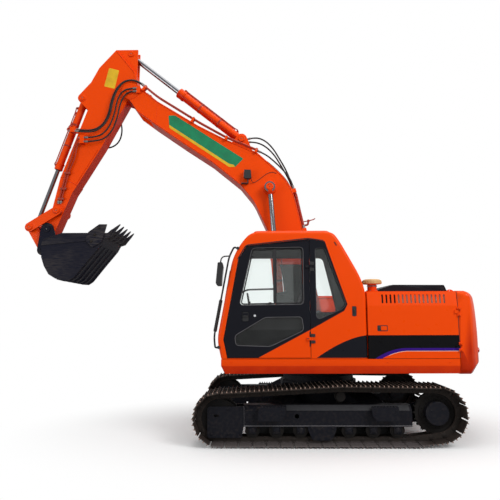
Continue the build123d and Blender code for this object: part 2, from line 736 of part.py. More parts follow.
with BuildPart() as consoles:
    add(block((250, 800), (1030, 1130), (1142, 1640)))
    add(block((250, 800), (440, 550), (1142, 1640)))
    for y in (1080, 495):
        add(post(740, y, 34, 1640, 1670))
        add(post(740, y, 9, 1670, 1740))
        add(post(740, y, 22, 1740, 1830))
    for y in (735, 850):
        add(hose([(1100, y, 1142), (1100, y, 1420), (1010, y, 1850)], 10))
consoles.part.label = "control_consoles"
export_step(consoles.part, "parts/control_consoles.step")

GRAB_RAIL = [(1163, 1120, 2546), (1215, 1120, 2575), (1283, 1120, 2440), (1478, 1120, 1385), (1463, 1120, 1239),
             (1414, 1120, 1250)]
MIRROR_HEAD = [(1366, 2355), (1425, 2350), (1450, 2080), (1430, 2045), (1376, 2047), (1352, 2290)]

with BuildPart() as mirror_left:
    add(hose(GRAB_RAIL, 12))
    add(hose([(1280, 1120, 2450), (1380, 1150, 2440), (1405, 1190, 2300)], 9))
    add(slab(MIRROR_HEAD, 1110, 1270, radius=12))
mirror_left.part.label = "left_mirror"
export_step(mirror_left.part, "parts/left_mirror.step")

HAND_RAIL = [(1290, -1150, 1520), (1290, -1150, 2110), (500, -1150, 2130), (500, -1150, 1930)]

with BuildPart() as hand_rail:
    add(hose(HAND_RAIL, 16))
    add(hose([(1290, -1150, 1900), (1380, -1170, 1930), (1405, -1190, 2010)], 9))
    add(slab([(1385, 1960), (1385, 2210), (1425, 2210), (1425, 1960)], -1270, -1120, radius=12))
hand_rail.part.label = "right_handrail"
export_step(hand_rail.part, "parts/right_handrail.step")

# ---------------------------------------------------------------- boom

BOOM_TOP = [(-65, 1665), (120, 2550), (210, 2962), (300, 3350), (372, 3621), (511, 3822), (640, 3945), (902, 4190),
            (1386, 4400), (1827, 4632), (2498, 5051), (2846, 5345)]
BOOM_BOTTOM = [(3040, 5130), (2919, 5060), (2781, 4862), (2533, 4675), (2041, 4329), (1600, 4033), (1163, 3671),
               (947, 3403), (747, 2959), (600, 2550), (180, 1560)]


def boom_solid():
    """The boom's outline as one solid, without its fork."""
    with BuildPart() as body:
        add(slab(BOOM_TOP + BOOM_BOTTOM, -BOOM_HALF, BOOM_HALF))
        add(shaft(BOOM_FOOT, 130, -BOOM_HALF, BOOM_HALF))
        add(shaft(BOOM_TIP, 135, -BOOM_HALF, BOOM_HALF))
    return body.part


TOP_PIPE = [(890, 4218), (1374, 4428), (1804, 4676), (2463, 5100), (2680, 5283)]
PIPE_YS = (158, 210)
CLAMP_WIDTH = (144, 226)


def clamp_bar(at, way, length, low, high, y_low, y_high):
    """A bar across the boom, square to a pipe's run, from a depth below the pipe to a height above it."""
    along_run = Vector(*way).normalized()
    up = Vector(-along_run.Y, along_run.X)
    foot = Vector(*at)
    corners = [foot + up * low, foot + along_run * length + up * low, foot + along_run * length + up * high,
               foot + up * high]
    return slab([(corner.X, corner.Y) for corner in corners], y_low, y_high)


BACK_CLAMP = [(377, 3597), (361, 3539), (293, 3556), (309, 3615)]
BULKHEAD = [(226, 2977), (215, 2928), (144, 2945), (156, 2994)]
OPTION_BLOCK = [(2750, 5165), (2810, 5165), (2810, 5275), (2750, 5275)]

BOOM_HOLLOW = [(10, 1820), (150, 2500), (250, 2960), (340, 3340), (415, 3600), (545, 3780), (670, 3900),
               (925, 4150), (1395, 4355), (1840, 4590), (2350, 4905), (2500, 4760), (2030, 4370), (1580, 4075),
               (1130, 3705), (900, 3420), (700, 2975), (555, 2570), (230, 1820)]

with BuildPart() as boom:
    add(boom_solid())
    add(slab(BOOM_HOLLOW, -BOOM_HALF + BOOM_PLATE, BOOM_HALF - BOOM_PLATE), mode=Mode.SUBTRACT)
    add(slab([(2470, 5300), (2620, 4500), (3200, 4800), (3200, 5500)], -FORK_HALF, FORK_HALF), mode=Mode.SUBTRACT)
    add(shaft(BOOM_CYL_EYE, 95, -238, 238))
    for y_low in (78, -104):
        add(link_plate([ARM_CYL_FOOT, (1000, 4230), (1300, 4330)], [85, 30, 30], y_low, y_low + 26))
    add(shaft(ARM_CYL_FOOT, 40, -110, 110))
    add(shaft(BOOM_TIP, 45, -190, 190))
    add(shaft(BOOM_FOOT, 50.5, -200, 200), mode=Mode.SUBTRACT)
    for y_low, y_high in (CLAMP_WIDTH, (-CLAMP_WIDTH[1], -CLAMP_WIDTH[0])):
        add(clamp_bar((2649.5, 5257.4), (217, 183), 40, -80, 18, y_low, y_high))
        add(clamp_bar((1880, 4725), (659, 424), 36, -72, 18, y_low, y_high))
        add(clamp_bar((1360, 4422), (484, 210), 36, -50, 18, y_low, y_high))
        add(clamp_bar((890, 4218), (484, 210), 36, -50, 18, y_low, y_high))
    add(slab(BACK_CLAMP, -BOOM_HALF, BOOM_HALF))
    add(slab(BULKHEAD, -BOOM_HALF, BOOM_HALF))
    add(slab(OPTION_BLOCK, BOOM_HALF, 226))
boom.part.label = "boom"
export_step(boom.part, "parts/boom.step")

with BuildPart() as boom_light:
    add(block((1040, 1150), (BOOM_HALF, 262), (3676, 3686)))
    add(post(1045, 238, 10, 3686, 3760))
    add(slab([(990, 3770), (1000, 3885), (1095, 3888), (1103, 3764), (1080, 3750), (1010, 3752)], 200, 275))
boom_light.part.label = "boom_light"
export_step(boom_light.part, "parts/boom_light.step")

with BuildPart() as boom_barrels:
    for y in (BOOM_CYL_Y, -BOOM_CYL_Y):
        add(tube_between(BOOM_CYL_FOOT, BOOM_CYL_EYE, y, [(60, 1300, 62), (1300, 1400, 66)]))
        add(shaft(BOOM_CYL_FOOT, 85, y - 40, y + 40))
        add(tube_between(BOOM_CYL_FOOT, BOOM_CYL_EYE, y, [(200, 1401, 52)]), mode=Mode.SUBTRACT)
        add(shaft(BOOM_CYL_FOOT, 40.5, y - 50, y + 50), mode=Mode.SUBTRACT)
boom_barrels.part.label = "boom_cylinder_barrels"
export_step(boom_barrels.part, "parts/boom_cylinder_barrels.step")

with BuildPart() as boom_rods:
    for y in (BOOM_CYL_Y, -BOOM_CYL_Y):
        add(tube_between(BOOM_CYL_FOOT, BOOM_CYL_EYE, y, [(1150, 2300, 37.5)]))
        add(shaft(BOOM_CYL_EYE, 82, y - 40, y + 40))
boom_rods.part.label = "boom_cylinder_rods"
export_step(boom_rods.part, "parts/boom_cylinder_rods.step")

# ---------------------------------------------------------------- arm

ARM_OUTLINE = [(3178, 5931), (3440, 5633), (3600, 5320), (3600, 4930), (3980, 3848), (4095, 3307), (4200, 3075),
               (4056, 2905), (3791, 3575), (3354, 4321), (2965, 5078), (2800, 5200), (2833, 5453), (2845, 5536),
               (2980, 5712)]
ARM_HOLLOW = [(3165, 5880), (3400, 5600), (3575, 5300), (3575, 4930), (3950, 3848), (4000, 3450), (3870, 3520),
              (3400, 4330), (3110, 4980), (3100, 5400), (2900, 5500)]
ARM_EAR = [(2830, 5955), (3185, 5955), (3240, 5850), (2940, 5450), (2837, 5453)]

TIP_PLATE = [(3986, 3830), (4095, 3307), (4200, 3075), (4056, 2905), (3791, 3575), (3719, 3690)]

with BuildPart() as arm:
    add(slab(ARM_OUTLINE, -ARM_HALF, ARM_HALF))
    add(shaft(ARM_TIP, 100, -ARM_HALF - 6, ARM_HALF + 6))
    add(shaft(BOOM_TIP, 140, -140, 140))
    add(slab(ARM_HOLLOW, -ARM_HALF + ARM_PLATE, ARM_HALF - ARM_PLATE), mode=Mode.SUBTRACT)
    add(shaft(ROCKER_PIN, 70, -ROCKER_INNER + 5, ROCKER_INNER - 5))
    for y_low in (72, -ARM_HALF):
        add(link_plate([BUCKET_CYL_FOOT, (3560, 5350), (3560, 4930)], [72, 30, 30], y_low, y_low + 58))
    for y_low in (62, -92):
        add(slab(ARM_EAR, y_low, y_low + 30))
    add(slab(TIP_PLATE, -ARM_HALF - 6, ARM_HALF + 6))
    add(block((3640, 3840), (ARM_HALF, 142), (4530, 4612)))
    add(block((3760.5, 3840), (142, 226), (4530, 4612)))
    for y_low in (ARM_HALF, -226):
        add(block((3610.5, 3680), (y_low, y_low + 96), (4345, 4475)))
    add(shaft(BUCKET_CYL_FOOT, 35, -ARM_HALF, ARM_HALF))
    add(shaft(BOOM_TIP, 45.5, -150, 150), mode=Mode.SUBTRACT)
    add(shaft(ARM_TIP, 35.5, -150, 150), mode=Mode.SUBTRACT)
    add(shaft(ROCKER_PIN, 35.5, -200, 200), mode=Mode.SUBTRACT)
arm.part.label = "arm"
export_step(arm.part, "parts/arm.step")

with BuildPart() as arm_barrel:
    add(tube_between(ARM_CYL_FOOT, ARM_CYL_EYE, 0, [(60, 1180, 70), (1180, 1300, 80)]))
    add(shaft(ARM_CYL_FOOT, 85, -55, 55))
    add(tube_between(ARM_CYL_FOOT, ARM_CYL_EYE, 0, [(100, 1301, 58)]), mode=Mode.SUBTRACT)
    add(shaft(ARM_CYL_FOOT, 40.5, -60, 60), mode=Mode.SUBTRACT)
arm_barrel.part.label = "arm_cylinder_barrel"
export_step(arm_barrel.part, "parts/arm_cylinder_barrel.step")

with BuildPart() as arm_rod:
    add(tube_between(ARM_CYL_FOOT, ARM_CYL_EYE, 0, [(850, 2240, 40)]))
    add(shaft(ARM_CYL_EYE, 80, -50, 50))
arm_rod.part.label = "arm_cylinder_rod"
export_step(arm_rod.part, "parts/arm_cylinder_rod.step")

with BuildPart() as bucket_barrel:
    add(tube_between(BUCKET_CYL_FOOT, ROCKER_END, 0, [(50, 1110, 55), (1110, 1210, 62)]))
    add(shaft(BUCKET_CYL_FOOT, 70, -50, 50))
    add(tube_between(BUCKET_CYL_FOOT, ROCKER_END, 0, [(180, 1211, 47)]), mode=Mode.SUBTRACT)
    add(shaft(BUCKET_CYL_FOOT, 35.5, -60, 60), mode=Mode.SUBTRACT)
bucket_barrel.part.label = "bucket_cylinder_barrel"
export_step(bucket_barrel.part, "parts/bucket_cylinder_barrel.step")

with BuildPart() as bucket_rod:
    add(tube_between(BUCKET_CYL_FOOT, ROCKER_END, 0, [(1000, 2170, 32.5)]))
    add(shaft(ROCKER_END, 65, -42, 42))
bucket_rod.part.label = "bucket_cylinder_rod"
export_step(bucket_rod.part, "parts/bucket_cylinder_rod.step")

with BuildPart() as rockers:
    for y_low in (ROCKER_INNER, -ROCKER_OUTER):
        add(link_plate([ROCKER_PIN, ROCKER_END], [70, 70], y_low, y_low + ROCKER_OUTER - ROCKER_INNER))
    add(shaft(ROCKER_PIN, 35, -ROCKER_OUTER - 6, ROCKER_OUTER + 6))
    add(shaft(ROCKER_END, 35.5, -ROCKER_OUTER - 9, ROCKER_OUTER + 9), mode=Mode.SUBTRACT)
rockers.part.label = "rocker_links"
export_step(rockers.part, "parts/rocker_links.step")

with BuildPart() as bucket_link:
    add(link_plate([ROCKER_END, BUCKET_LINK_PIN], [68, 68], -128, 128))
    add(shaft(ROCKER_END, 60, -180, 180))
    add(shaft(ROCKER_END, 35, -ROCKER_OUTER - 6, ROCKER_OUTER + 6))
    add(shaft(ROCKER_END, 180, -52, 52), mode=Mode.SUBTRACT)
bucket_link.part.label = "bucket_link"
export_step(bucket_link.part, "parts/bucket_link.step")

# ---------------------------------------------------------------- bucket

BUCKET_OUTLINE = [(3120, 2880), (3209, 2707), (3597, 2223), (3662, 2180), (3754, 2184), (3867, 2205), (3971, 2268),
                  (4045, 2390), (4090, 2520), (4100, 2690), (4070, 2790), (3800, 2880)]
BUCKET_INNER = [(3145, 2900), (3235, 2735), (3620, 2250), (3675, 2208), (3754, 2212), (3855, 2232), (3950, 2290),
                (4020, 2400), (4063, 2525), (4072, 2680), (4050, 2770), (3800, 2852), (3780, 2950)]

RIB_YS = [-400, -200, 0, 200, 400]
RIB_OUTLINE = [(3230, 2700), (3597, 2230), (3662, 2190), (3754, 2194), (3860, 2214), (3868, 2196), (3756, 2168),
               (3656, 2162), (3584, 2210), (3216, 2682)]
SIDE_STRIP = [(3290, 2770), (3250, 2880), (3800, 2880), (4060, 2793), (4086, 2740), (4094, 2700), (4070, 2700)]
SIDE_CUTTER = [(3128, 3005), (3241, 3006), (3400, 2890), (3440, 2770), (3335, 2660), (3200, 2740), (3158, 2883)]

with BuildPart() as bucket:
    add(slab(BUCKET_OUTLINE, -BUCKET_HALF, BUCKET_HALF))
    add(slab(BUCKET_INNER, -BUCKET_HALF + 22, BUCKET_HALF - 22), mode=Mode.SUBTRACT)
    for y in RIB_YS:
        add(slab(RIB_OUTLINE, y - 20, y + 20))
    for y_low in (BUCKET_HALF, -BUCKET_HALF - 10):
        add(slab(SIDE_STRIP, y_low, y_low + 10))
    for y_low in (BUCKET_HALF, -BUCKET_HALF - 22):
        add(slab(SIDE_CUTTER, y_low, y_low + 22))
    for y_low in (EAR_INNER, -EAR_OUTER):
        add(link_plate([ARM_TIP, BUCKET_LINK_PIN, (4020, 2800)], [98, 85, 30], y_low, y_low + 34))
    add(shaft(ARM_TIP, 35, -EAR_OUTER - 4, EAR_OUTER + 4))
bucket.part.label = "bucket"
export_step(bucket.part, "parts/bucket.step")

TOOTH_YS = [-430, -215, 0, 215, 430]
TOOTH_OUTLINE = [(3120, 2880), (3060, 2932), (2945, 3012), (2985, 2950), (3085, 2822), (3161, 2800)]

ADAPTER_OUTLINE = [(3120, 2880), (3060, 2932), (3036, 2930), (3085, 2822), (3161, 2800)]

with BuildPart() as teeth:
    for y in TOOTH_YS:
        add(slab(TOOTH_OUTLINE, y - 28, y + 28))
        add(slab(ADAPTER_OUTLINE, y - 40, y + 40))
teeth.part.label = "bucket_teeth"
export_step(teeth.part, "parts/bucket_teeth.step")

# ---------------------------------------------------------------- hoses

HOSE = 12
PIPE_END = (2680.5, 5283.5)
BUCKET_HOSE_1 = [(2680.5, 158, 5283.5), (2796, 158, 5381), (2990, 158, 5420), (3140, 158, 5290), (3225, 158, 5060),
                 (3255, 158, 4840), (3350, 158, 4650), (3540, 158, 4560), (3760, 158, 4592)]
BUCKET_HOSE_2 = [(2680.5, 210, 5283.5), (2788, 210, 5374), (2965, 210, 5390), (3105, 210, 5265), (3185, 210, 5045),
                 (3215, 210, 4820), (3320, 210, 4610), (3520, 210, 4510), (3760, 210, 4550)]
OPTION_HOSE_1 = [(2810.5, 210, 5245), (2940, 210, 5245), (3056, 210, 5180), (3122, 210, 5010), (3155, 210, 4790),
                 (3245, 210, 4565), (3400, 210, 4440), (3610, 210, 4440)]
OPTION_HOSE_2 = [(2810.5, 210, 5195), (2920, 210, 5195), (3010, 210, 5120), (3070, 210, 4970), (3100, 210, 4760),
                 (3190, 210, 4510), (3360, 210, 4375), (3610, 210, 4375)]
FAR_HOSE = [(2680.5, -158, 5283.5), (2796, -158, 5381), (2980, -158, 5400), (3100, -158, 5290), (3140, -158, 5090),
            (3150, -158, 4870), (3110, -158, 4660), (3170, -158, 4460), (3350, -158, 4370), (3610, -158, 4385)]
ARM_HOSE_1 = [(1060, 25, 4455), (930, 25, 4490), (780, 25, 4440), (650, 25, 4310), (545, 25, 4130), (440, 25, 3940),
              (368, 25, 3750), (337.5, 25, 3608)]
ARM_HOSE_2 = [(1060, -25, 4425), (930, -25, 4430), (770, -25, 4360), (635, -25, 4225), (535, -25, 4060),
              (440, -25, 3888), (364, -25, 3730), (337.5, -25, 3608)]
BOOM_HOSE = [(890, 158, 4218), (770, 158, 4166), (640, 158, 4055), (520, 158, 3935), (425, 158, 3820),
             (362, 158, 3706), (337.5, 158, 3608)]


def print_radii(name, route):
    """The bend radii of a hose, for the visual model's same route."""
    print(name, [round(radius) for radius in bend_radii(route)])


bucket_hose_1 = hose(BUCKET_HOSE_1, HOSE)
bucket_hose_1.label = "bucket_hose_1"
print_radii("bucket_hose_1", BUCKET_HOSE_1)
export_step(bucket_hose_1, "parts/bucket_hose_1.step")

bucket_hose_2 = hose(BUCKET_HOSE_2, HOSE)
bucket_hose_2.label = "bucket_hose_2"
print_radii("bucket_hose_2", BUCKET_HOSE_2)
export_step(bucket_hose_2, "parts/bucket_hose_2.step")

option_hose_1 = hose(OPTION_HOSE_1, HOSE)
option_hose_1.label = "option_hose_1"
print_radii("option_hose_1", OPTION_HOSE_1)
export_step(option_hose_1, "parts/option_hose_1.step")

option_hose_2 = hose(OPTION_HOSE_2, HOSE)
option_hose_2.label = "option_hose_2"
print_radii("option_hose_2", OPTION_HOSE_2)
export_step(option_hose_2, "parts/option_hose_2.step")

far_side_hose = hose(FAR_HOSE, HOSE)
far_side_hose.label = "far_side_hose"
print_radii("far_side_hose", FAR_HOSE)
export_step(far_side_hose, "parts/far_side_hose.step")

arm_hose_1 = hose(ARM_HOSE_1, HOSE)
arm_hose_1.label = "arm_hose_1"
print_radii("arm_hose_1", ARM_HOSE_1)
export_step(arm_hose_1, "parts/arm_hose_1.step")

arm_hose_2 = hose(ARM_HOSE_2, HOSE)
arm_hose_2.label = "arm_hose_2"
print_radii("arm_hose_2", ARM_HOSE_2)
export_step(arm_hose_2, "parts/arm_hose_2.step")

boom_hose_left = hose(BOOM_HOSE, HOSE)
boom_hose_left.label = "boom_hose_left"
print_radii("boom_hose_left", BOOM_HOSE)
export_step(boom_hose_left, "parts/boom_hose_left.step")

boom_hose_right = mirror(boom_hose_left, about=Plane.XZ)
boom_hose_right.label = "boom_hose_right"
export_step(boom_hose_right, "parts/boom_hose_right.step")
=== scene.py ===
"""Looks of the crawler excavator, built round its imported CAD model. Metres, in the CAD's own frame.

Tables give millimetres from the swing axis and the ground, as the CAD source does.
"""

import json
import math

import bmesh
import bpy
from mathutils import Matrix, Vector


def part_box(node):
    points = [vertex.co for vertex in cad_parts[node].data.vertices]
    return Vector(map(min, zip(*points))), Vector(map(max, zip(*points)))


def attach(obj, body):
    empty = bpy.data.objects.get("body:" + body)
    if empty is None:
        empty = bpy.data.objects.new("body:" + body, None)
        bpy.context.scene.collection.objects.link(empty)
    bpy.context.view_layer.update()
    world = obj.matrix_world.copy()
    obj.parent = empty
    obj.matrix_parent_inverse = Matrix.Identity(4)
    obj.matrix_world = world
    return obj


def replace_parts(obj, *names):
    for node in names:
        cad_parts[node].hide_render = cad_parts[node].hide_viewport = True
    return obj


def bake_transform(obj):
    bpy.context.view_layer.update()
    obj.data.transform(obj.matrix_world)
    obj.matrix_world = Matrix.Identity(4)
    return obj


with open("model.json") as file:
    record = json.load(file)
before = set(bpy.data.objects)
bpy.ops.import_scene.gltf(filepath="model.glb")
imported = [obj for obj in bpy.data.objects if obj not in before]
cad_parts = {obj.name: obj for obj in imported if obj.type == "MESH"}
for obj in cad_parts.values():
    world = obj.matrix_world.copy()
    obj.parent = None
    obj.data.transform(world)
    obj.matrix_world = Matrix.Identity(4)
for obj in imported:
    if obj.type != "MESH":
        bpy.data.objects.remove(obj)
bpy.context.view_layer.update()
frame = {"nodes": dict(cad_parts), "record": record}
NODES = frame["nodes"]
SWING_X = next(joint["pos_m"][0] for joint in frame["record"]["behaviour"]["joints"] if joint["name"] == "swing")
MM = 0.001
FORWARD, LEFT, UP = Vector((1, 0, 0)), Vector((0, 1, 0)), Vector((0, 0, 1))
SIDES = (1, -1)
WHITE = (1, 1, 1)
HOUSE = "upper_structure"


def at(x, y, z):
    """A point given in millimetres from the swing axis and the ground."""
    return Vector((SWING_X + x * MM, y * MM, z * MM))


def spot_of(place):
    """A point in metres, from one or from a tuple in millimetres."""
    return at(*place) if isinstance(place, tuple) else place


def block(x, z):
    """The outline of a rectangle."""
    return [(x[0], z[0]), (x[1], z[0]), (x[1], z[1]), (x[0], z[1])]


def added(name, data):
    """A new object in the scene."""
    thing = bpy.data.objects.new(name, data)
    bpy.context.scene.collection.objects.link(thing)
    return thing


# ------------------------------------------------------------------ nodes of the materials and the world

class Value:
    """An output of a node, with sums that make further nodes."""

    def __init__(self, surface, socket):
        self.surface, self.socket = surface, socket


for sign, operation in (("add", "ADD"), ("sub", "SUBTRACT"), ("mul", "MULTIPLY"), ("pow", "POWER"),
                        ("gt", "GREATER_THAN"), ("lt", "LESS_THAN")):
    setattr(Value, f"__{sign}__", lambda self, other, operation=operation: self.surface.math(operation, self, other))
Value.__rsub__ = lambda self, other: self.surface.math("SUBTRACT", other, self)


class Surface:
    """A procedural material, or the world, under construction."""

    def __init__(self, name, owner=None, shader="Principled BSDF"):
        self.material = owner or bpy.data.materials.new(name)
        self.material.use_nodes = True
        self.tree = self.material.node_tree
        self.shader = self.tree.nodes[shader]

    def put(self, value, socket):
        if isinstance(value, Value):
            self.tree.links.new(value.socket, socket)
        elif isinstance(value, tuple) and len(value) == 3 and len(socket.default_value) == 4:
            socket.default_value = (*value, 1)
        else:
            socket.default_value = value

    def set(self, **values):
        for name, value in values.items():
            self.put(value, self.shader.inputs[name.replace("_", " ")])
        return self.material

    def node(self, kind, inputs, output=0, **settings):
        """One output of a new node, whose inputs go by name or number."""
        node = self.tree.nodes.new("ShaderNode" + kind)
        for name, value in settings.items():
            setattr(node, name, value)
        for name, value in inputs.items():
            self.put(value, node.inputs[name])
        return Value(self, node.outputs[output])

    def noise(self, scale, detail=3, stretch=(1, 1, 1)):
        place = self.node("TexCoord", {}, "Object")
        where = self.node("Mapping", {"Vector": place, "Scale": stretch})
        return self.node("TexNoise", {"Scale": scale, "Detail": detail, "Vector": where})

    def math(self, operation, a, b):
        return self.node("Math", {0: a, 1: b}, operation=operation)

    def span(self, value, low, high, to_low=0.0, to_high=1.0, shape="LINEAR"):
        return self.node("MapRange", {"Value": value, "From Min": low, "From Max": high, "To Min": to_low,
                                      "To Max": to_high}, interpolation_type=shape)

    def mix(self, factor, a, b):
        return self.node("Mix", {"Factor": factor, 6: a, 7: b}, 2, data_type="RGBA")

    def mottled(self, colour, share, patches):
        """A colour that is darker in patches."""
        return self.mix(self.span(patches, 0.35, 0.7), colour, tuple(channel * share for channel in colour))

    def axis(self, letter):
        return self.node("SeparateXYZ", {0: self.node("TexCoord", {}, "Object")}, letter)

    def facing(self, letter):
        """How much a surface faces along an axis, from -1 to 1."""
        return self.node("SeparateXYZ", {0: self.node("NewGeometry", {}, "Normal")}, letter)

    def under(self):
        """A mask of the faces that look down, where the orange is darkened as painted shade, broken up by noise."""
        down = self.node("SeparateXYZ", {0: self.node("TexCoord", {}, "Normal")}, "Z") * -1.0
        return self.span(down, 0.05, 0.27) * self.span(self.noise(5, 4), 0.25, 0.6, 0.75, 1.0)

    def edges(self, low, high):
        """A mask of the sharp outer edges."""
        return self.span(self.node("NewGeometry", {}, "Pointiness"), low, high)

    def bump(self, height, strength, distance):
        self.set(Normal=self.node("Bump", {"Height": height, "Strength": strength, "Distance": distance}))

    def polygon(self, corners):
        """1 inside a convex outline in the side view, its corners anticlockwise in X and Z."""
        inside = 1.0
        for (x, z), (to_x, to_z) in zip(corners, corners[1:] + corners[:1]):
            length = math.hypot(to_x - x, to_z - z)
            over_x, over_z = (z - to_z) / length, (to_x - x) / length
            shift = over_x * at(x, 0, z).x + over_z * z * MM
            inside = (self.axis("X") * over_x + self.axis("Z") * over_z > shift) * inside
        return inside


# ------------------------------------------------------------------ camera, light and floor

CAMERA_PLACE, CAMERA_LENS = (910.779, 7968.036, 1645.542), 37.096
FLOOR_REACH = 60
FOOTPRINT = (1.9, 1.3)
FADE_START, FADE_END = 0.85, 2.5
YAW, PITCH, ROLL = 0.0134737, 0.1284476, 0.0027901


def place_camera():
    camera = added("camera", bpy.data.cameras.new("camera"))
    turn = Matrix.Rotation(YAW, 3, "Z")
    ahead, right, up = turn @ -LEFT, turn @ -FORWARD, UP
    turn = Matrix.Rotation(PITCH, 3, right)
    ahead, up = turn @ ahead, turn @ up
    turn = Matrix.Rotation(ROLL, 3, ahead)
    up, right = turn @ up, turn @ right
    camera.matrix_world = Matrix.Translation(at(*CAMERA_PLACE)) @ Matrix((right, up, -ahead)).transposed().to_4x4()
    camera.data.sensor_width, camera.data.lens, camera.data.clip_end = 36, CAMERA_LENS, 200
    bpy.context.scene.camera = camera


def area_light(name, place, target, size, power):
    data = bpy.data.lights.new(name, "AREA")
    data.shape = "RECTANGLE"
    data.size, data.size_y = size
    data.energy = power
    lamp = added(name, data)
    lamp.location = place
    lamp.rotation_euler = (Vector(target) - Vector(place)).to_track_quat("-Z", "Y").to_euler()


def build_world():
    """White where it is seen, and half as bright where it only lights."""
    bpy.context.scene.world = bpy.data.worlds.new("studio")
    sky = Surface("studio", bpy.context.scene.world, "Background")
    seen = sky.math("MAXIMUM", *(sky.node("LightPath", {}, f"Is {ray} Ray") for ray in ("Camera", "Transmission")))
    sky.set(Color=WHITE, Strength=sky.span(seen, 0.0, 1.0, 0.5, 1.0))


def build_floor():
    """A floor that takes the shadow near the tracks and fades into the white round them."""
    mesh = bpy.data.meshes.new("floor")
    mesh.from_pydata([(x * FLOOR_REACH, y * FLOOR_REACH, 0) for x, y in block((-1, 1), (-1, 1))], [], [(0, 1, 2, 3)])
    surface = Surface("floor")
    seen = surface.node("LightPath", {}, "Is Camera Ray")
    mesh.materials.append(surface.set(Base_Color=surface.span(seen, 0.0, 1.0, 0.4, 0.96), Roughness=0.9))
    footprint = surface.node("Mapping", {"Vector": surface.node("NewGeometry", {}, "Position"),
                                         "Location": (-SWING_X / FOOTPRINT[0], 0, 0),
                                         "Scale": (1 / FOOTPRINT[0], 1 / FOOTPRINT[1], 1)})
    reach = surface.node("VectorMath", {0: footprint}, "Value", operation="LENGTH")
    fade = surface.span(reach, FADE_START, FADE_END, shape="SMOOTHSTEP")
    both = surface.node("MixShader", {0: seen * fade, 1: Value(surface, surface.shader.outputs[0]),
                                      2: surface.node("Emission", {"Color": WHITE})})
    surface.put(both, surface.tree.nodes["Material Output"].inputs["Surface"])
    added("floor", mesh)


bpy.context.scene.view_settings.view_transform = "Standard"
place_camera()
build_world()
build_floor()
area_light("key", (-8.0, 8.5, 9.0), (-1, 0, 2), (5, 5), 860)
area_light("fill", (9.0, 7.0, 2.5), (1, 0, 3), (6, 4), 260)
area_light("top", (-1.0, 0.0, 12.0), (-1, 0, 0), (8, 8), 420)

# ------------------------------------------------------------------ materials

ORANGE = (0.89, 0.067, 0.0002)
ORANGE_SHADE = (0.56, 0.022, 0.0002)
NAVY = (0.0085, 0.009, 0.0135)
BLACK = (0.004, 0.004, 0.005)
BLUE = (0.035, 0.006, 0.20)
DUST = (0.22, 0.17, 0.13)
LINING = (0.023, 0.034, 0.038)
LOW_GREY = (0.15, 0.13, 0.13)
PALE = (0.85, 0.55, 0.42)
CAB_BLACK = [(1295, 1118), (1352, 1345), (1160, 2395), (1050, 2578), (230, 2665), (12, 2634), (-268, 1800),
             (-222, 1716), (233, 1467), (896, 1118)]
SWEEP_REAR, SWEEP_FRONT, SWEEP_FOOT, SWEEP_HEIGHT = SWING_X - 0.517, SWING_X + 0.147, 1.114, 0.287
BAND_TOP, BAND_FOOT, BEND_REAR, BEND_FRONT, PALE_FRONT = 1.402, 1.238, SWING_X - 1.02, SWING_X - 0.58, SWING_X - 0.78


def coated(surface, colour, rough, dust=0.0):
    """Sprayed enamel: faint mottling, orange peel and, low down, a film of dust."""
    base = surface.mottled(colour, 0.93, surface.noise(2.2, 5)) if isinstance(colour, tuple) else colour
    if dust:
        lying = surface.span(surface.facing("Z"), 0.2, 0.9)
        low = surface.span(surface.axis("Z"), 0.05, 0.5, 1.0, 0.35)
        film = surface.span(surface.noise(26, 7), 0.45, 0.7) * low * (lying * dust + dust * 0.22)
        base = surface.mix(film, base, DUST)
    surface.bump(surface.noise(160, 2), 0.05, 0.0006)
    return surface.set(Base_Color=base, Specular_IOR_Level=0.11, Coat_Weight=0.04, Coat_Roughness=0.1,
                       Roughness=surface.span(surface.noise(14, 4), 0.3, 0.7, rough * 0.85, rough * 1.25))


def orange_paint():
    surface = Surface("orange_enamel")
    # Downward faces turn to ORANGE_SHADE: painted shade on the undersides.
    return coated(surface, surface.mix(surface.under(), ORANGE, ORANGE_SHADE), 0.34)


def cab_paint():
    """Orange cab shell, with the black window surround and the black sweep low at the rear of its left face."""
    surface = Surface("cab_enamel")
    x, y, z = (surface.axis(letter) for letter in "XYZ")
    rise = 1.0 - surface.span(x, SWEEP_REAR, SWEEP_FRONT) ** 1.6
    sweep = (z < rise * SWEEP_HEIGHT + SWEEP_FOOT) * (z > SWEEP_FOOT) * (x < SWEEP_FRONT)
    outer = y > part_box("cab_left_side")[1][1] - 0.075
    black = surface.math("MAXIMUM", surface.polygon(CAB_BLACK), sweep) * outer
    inner = (surface.facing("Y") < -0.5) * (y > 0.9)
    return coated(surface, surface.mix(inner, surface.mix(black, ORANGE, NAVY), LINING), 0.32)


def band_paint():
    """Orange side door with a black band over a blue stripe that curls down at its front end."""
    surface = Surface("banded_enamel")
    x, z = surface.axis("X"), surface.axis("Z")
    bend = surface.span(x, BEND_REAR, BEND_FRONT)
    curve = BAND_FOOT - bend ** 2.0 * 0.15
    low = curve - (bend * 0.02 + 0.036)
    colour = surface.mix((z > curve) * (z < BAND_TOP), ORANGE, BLACK)
    colour = surface.mix((z > low) * (z < curve), colour, BLUE)
    return coated(surface, surface.mix((z > low - 0.006) * (z < low) * (x < PALE_FRONT), colour, PALE), 0.3)


def worn_steel(name, dark, brown, rubbed, wear):
    """Bare track steel: a brown film in the hollows, rubbed edges, and a lighter grey low down where it meets the
    ground.
    """
    surface = Surface(name)
    patches = surface.noise(30, 6)
    base = surface.mix(surface.span(patches, 0.38, 0.66), dark, brown)
    base = surface.mix(surface.edges(0.5, 0.57) * wear, base, rubbed)
    # Lighter grey towards the ground.
    ground = surface.span(surface.axis("Z") + patches * 0.02, 0.072, 0.04)
    surface.bump(surface.noise(70, 5), 0.35, 0.003)
    return surface.set(Base_Color=surface.mix(ground * 0.85, base, LOW_GREY), Metallic=0.3, Specular_IOR_Level=0.2,
                       Roughness=surface.span(patches, 0.3, 0.7, 0.55, 0.85))


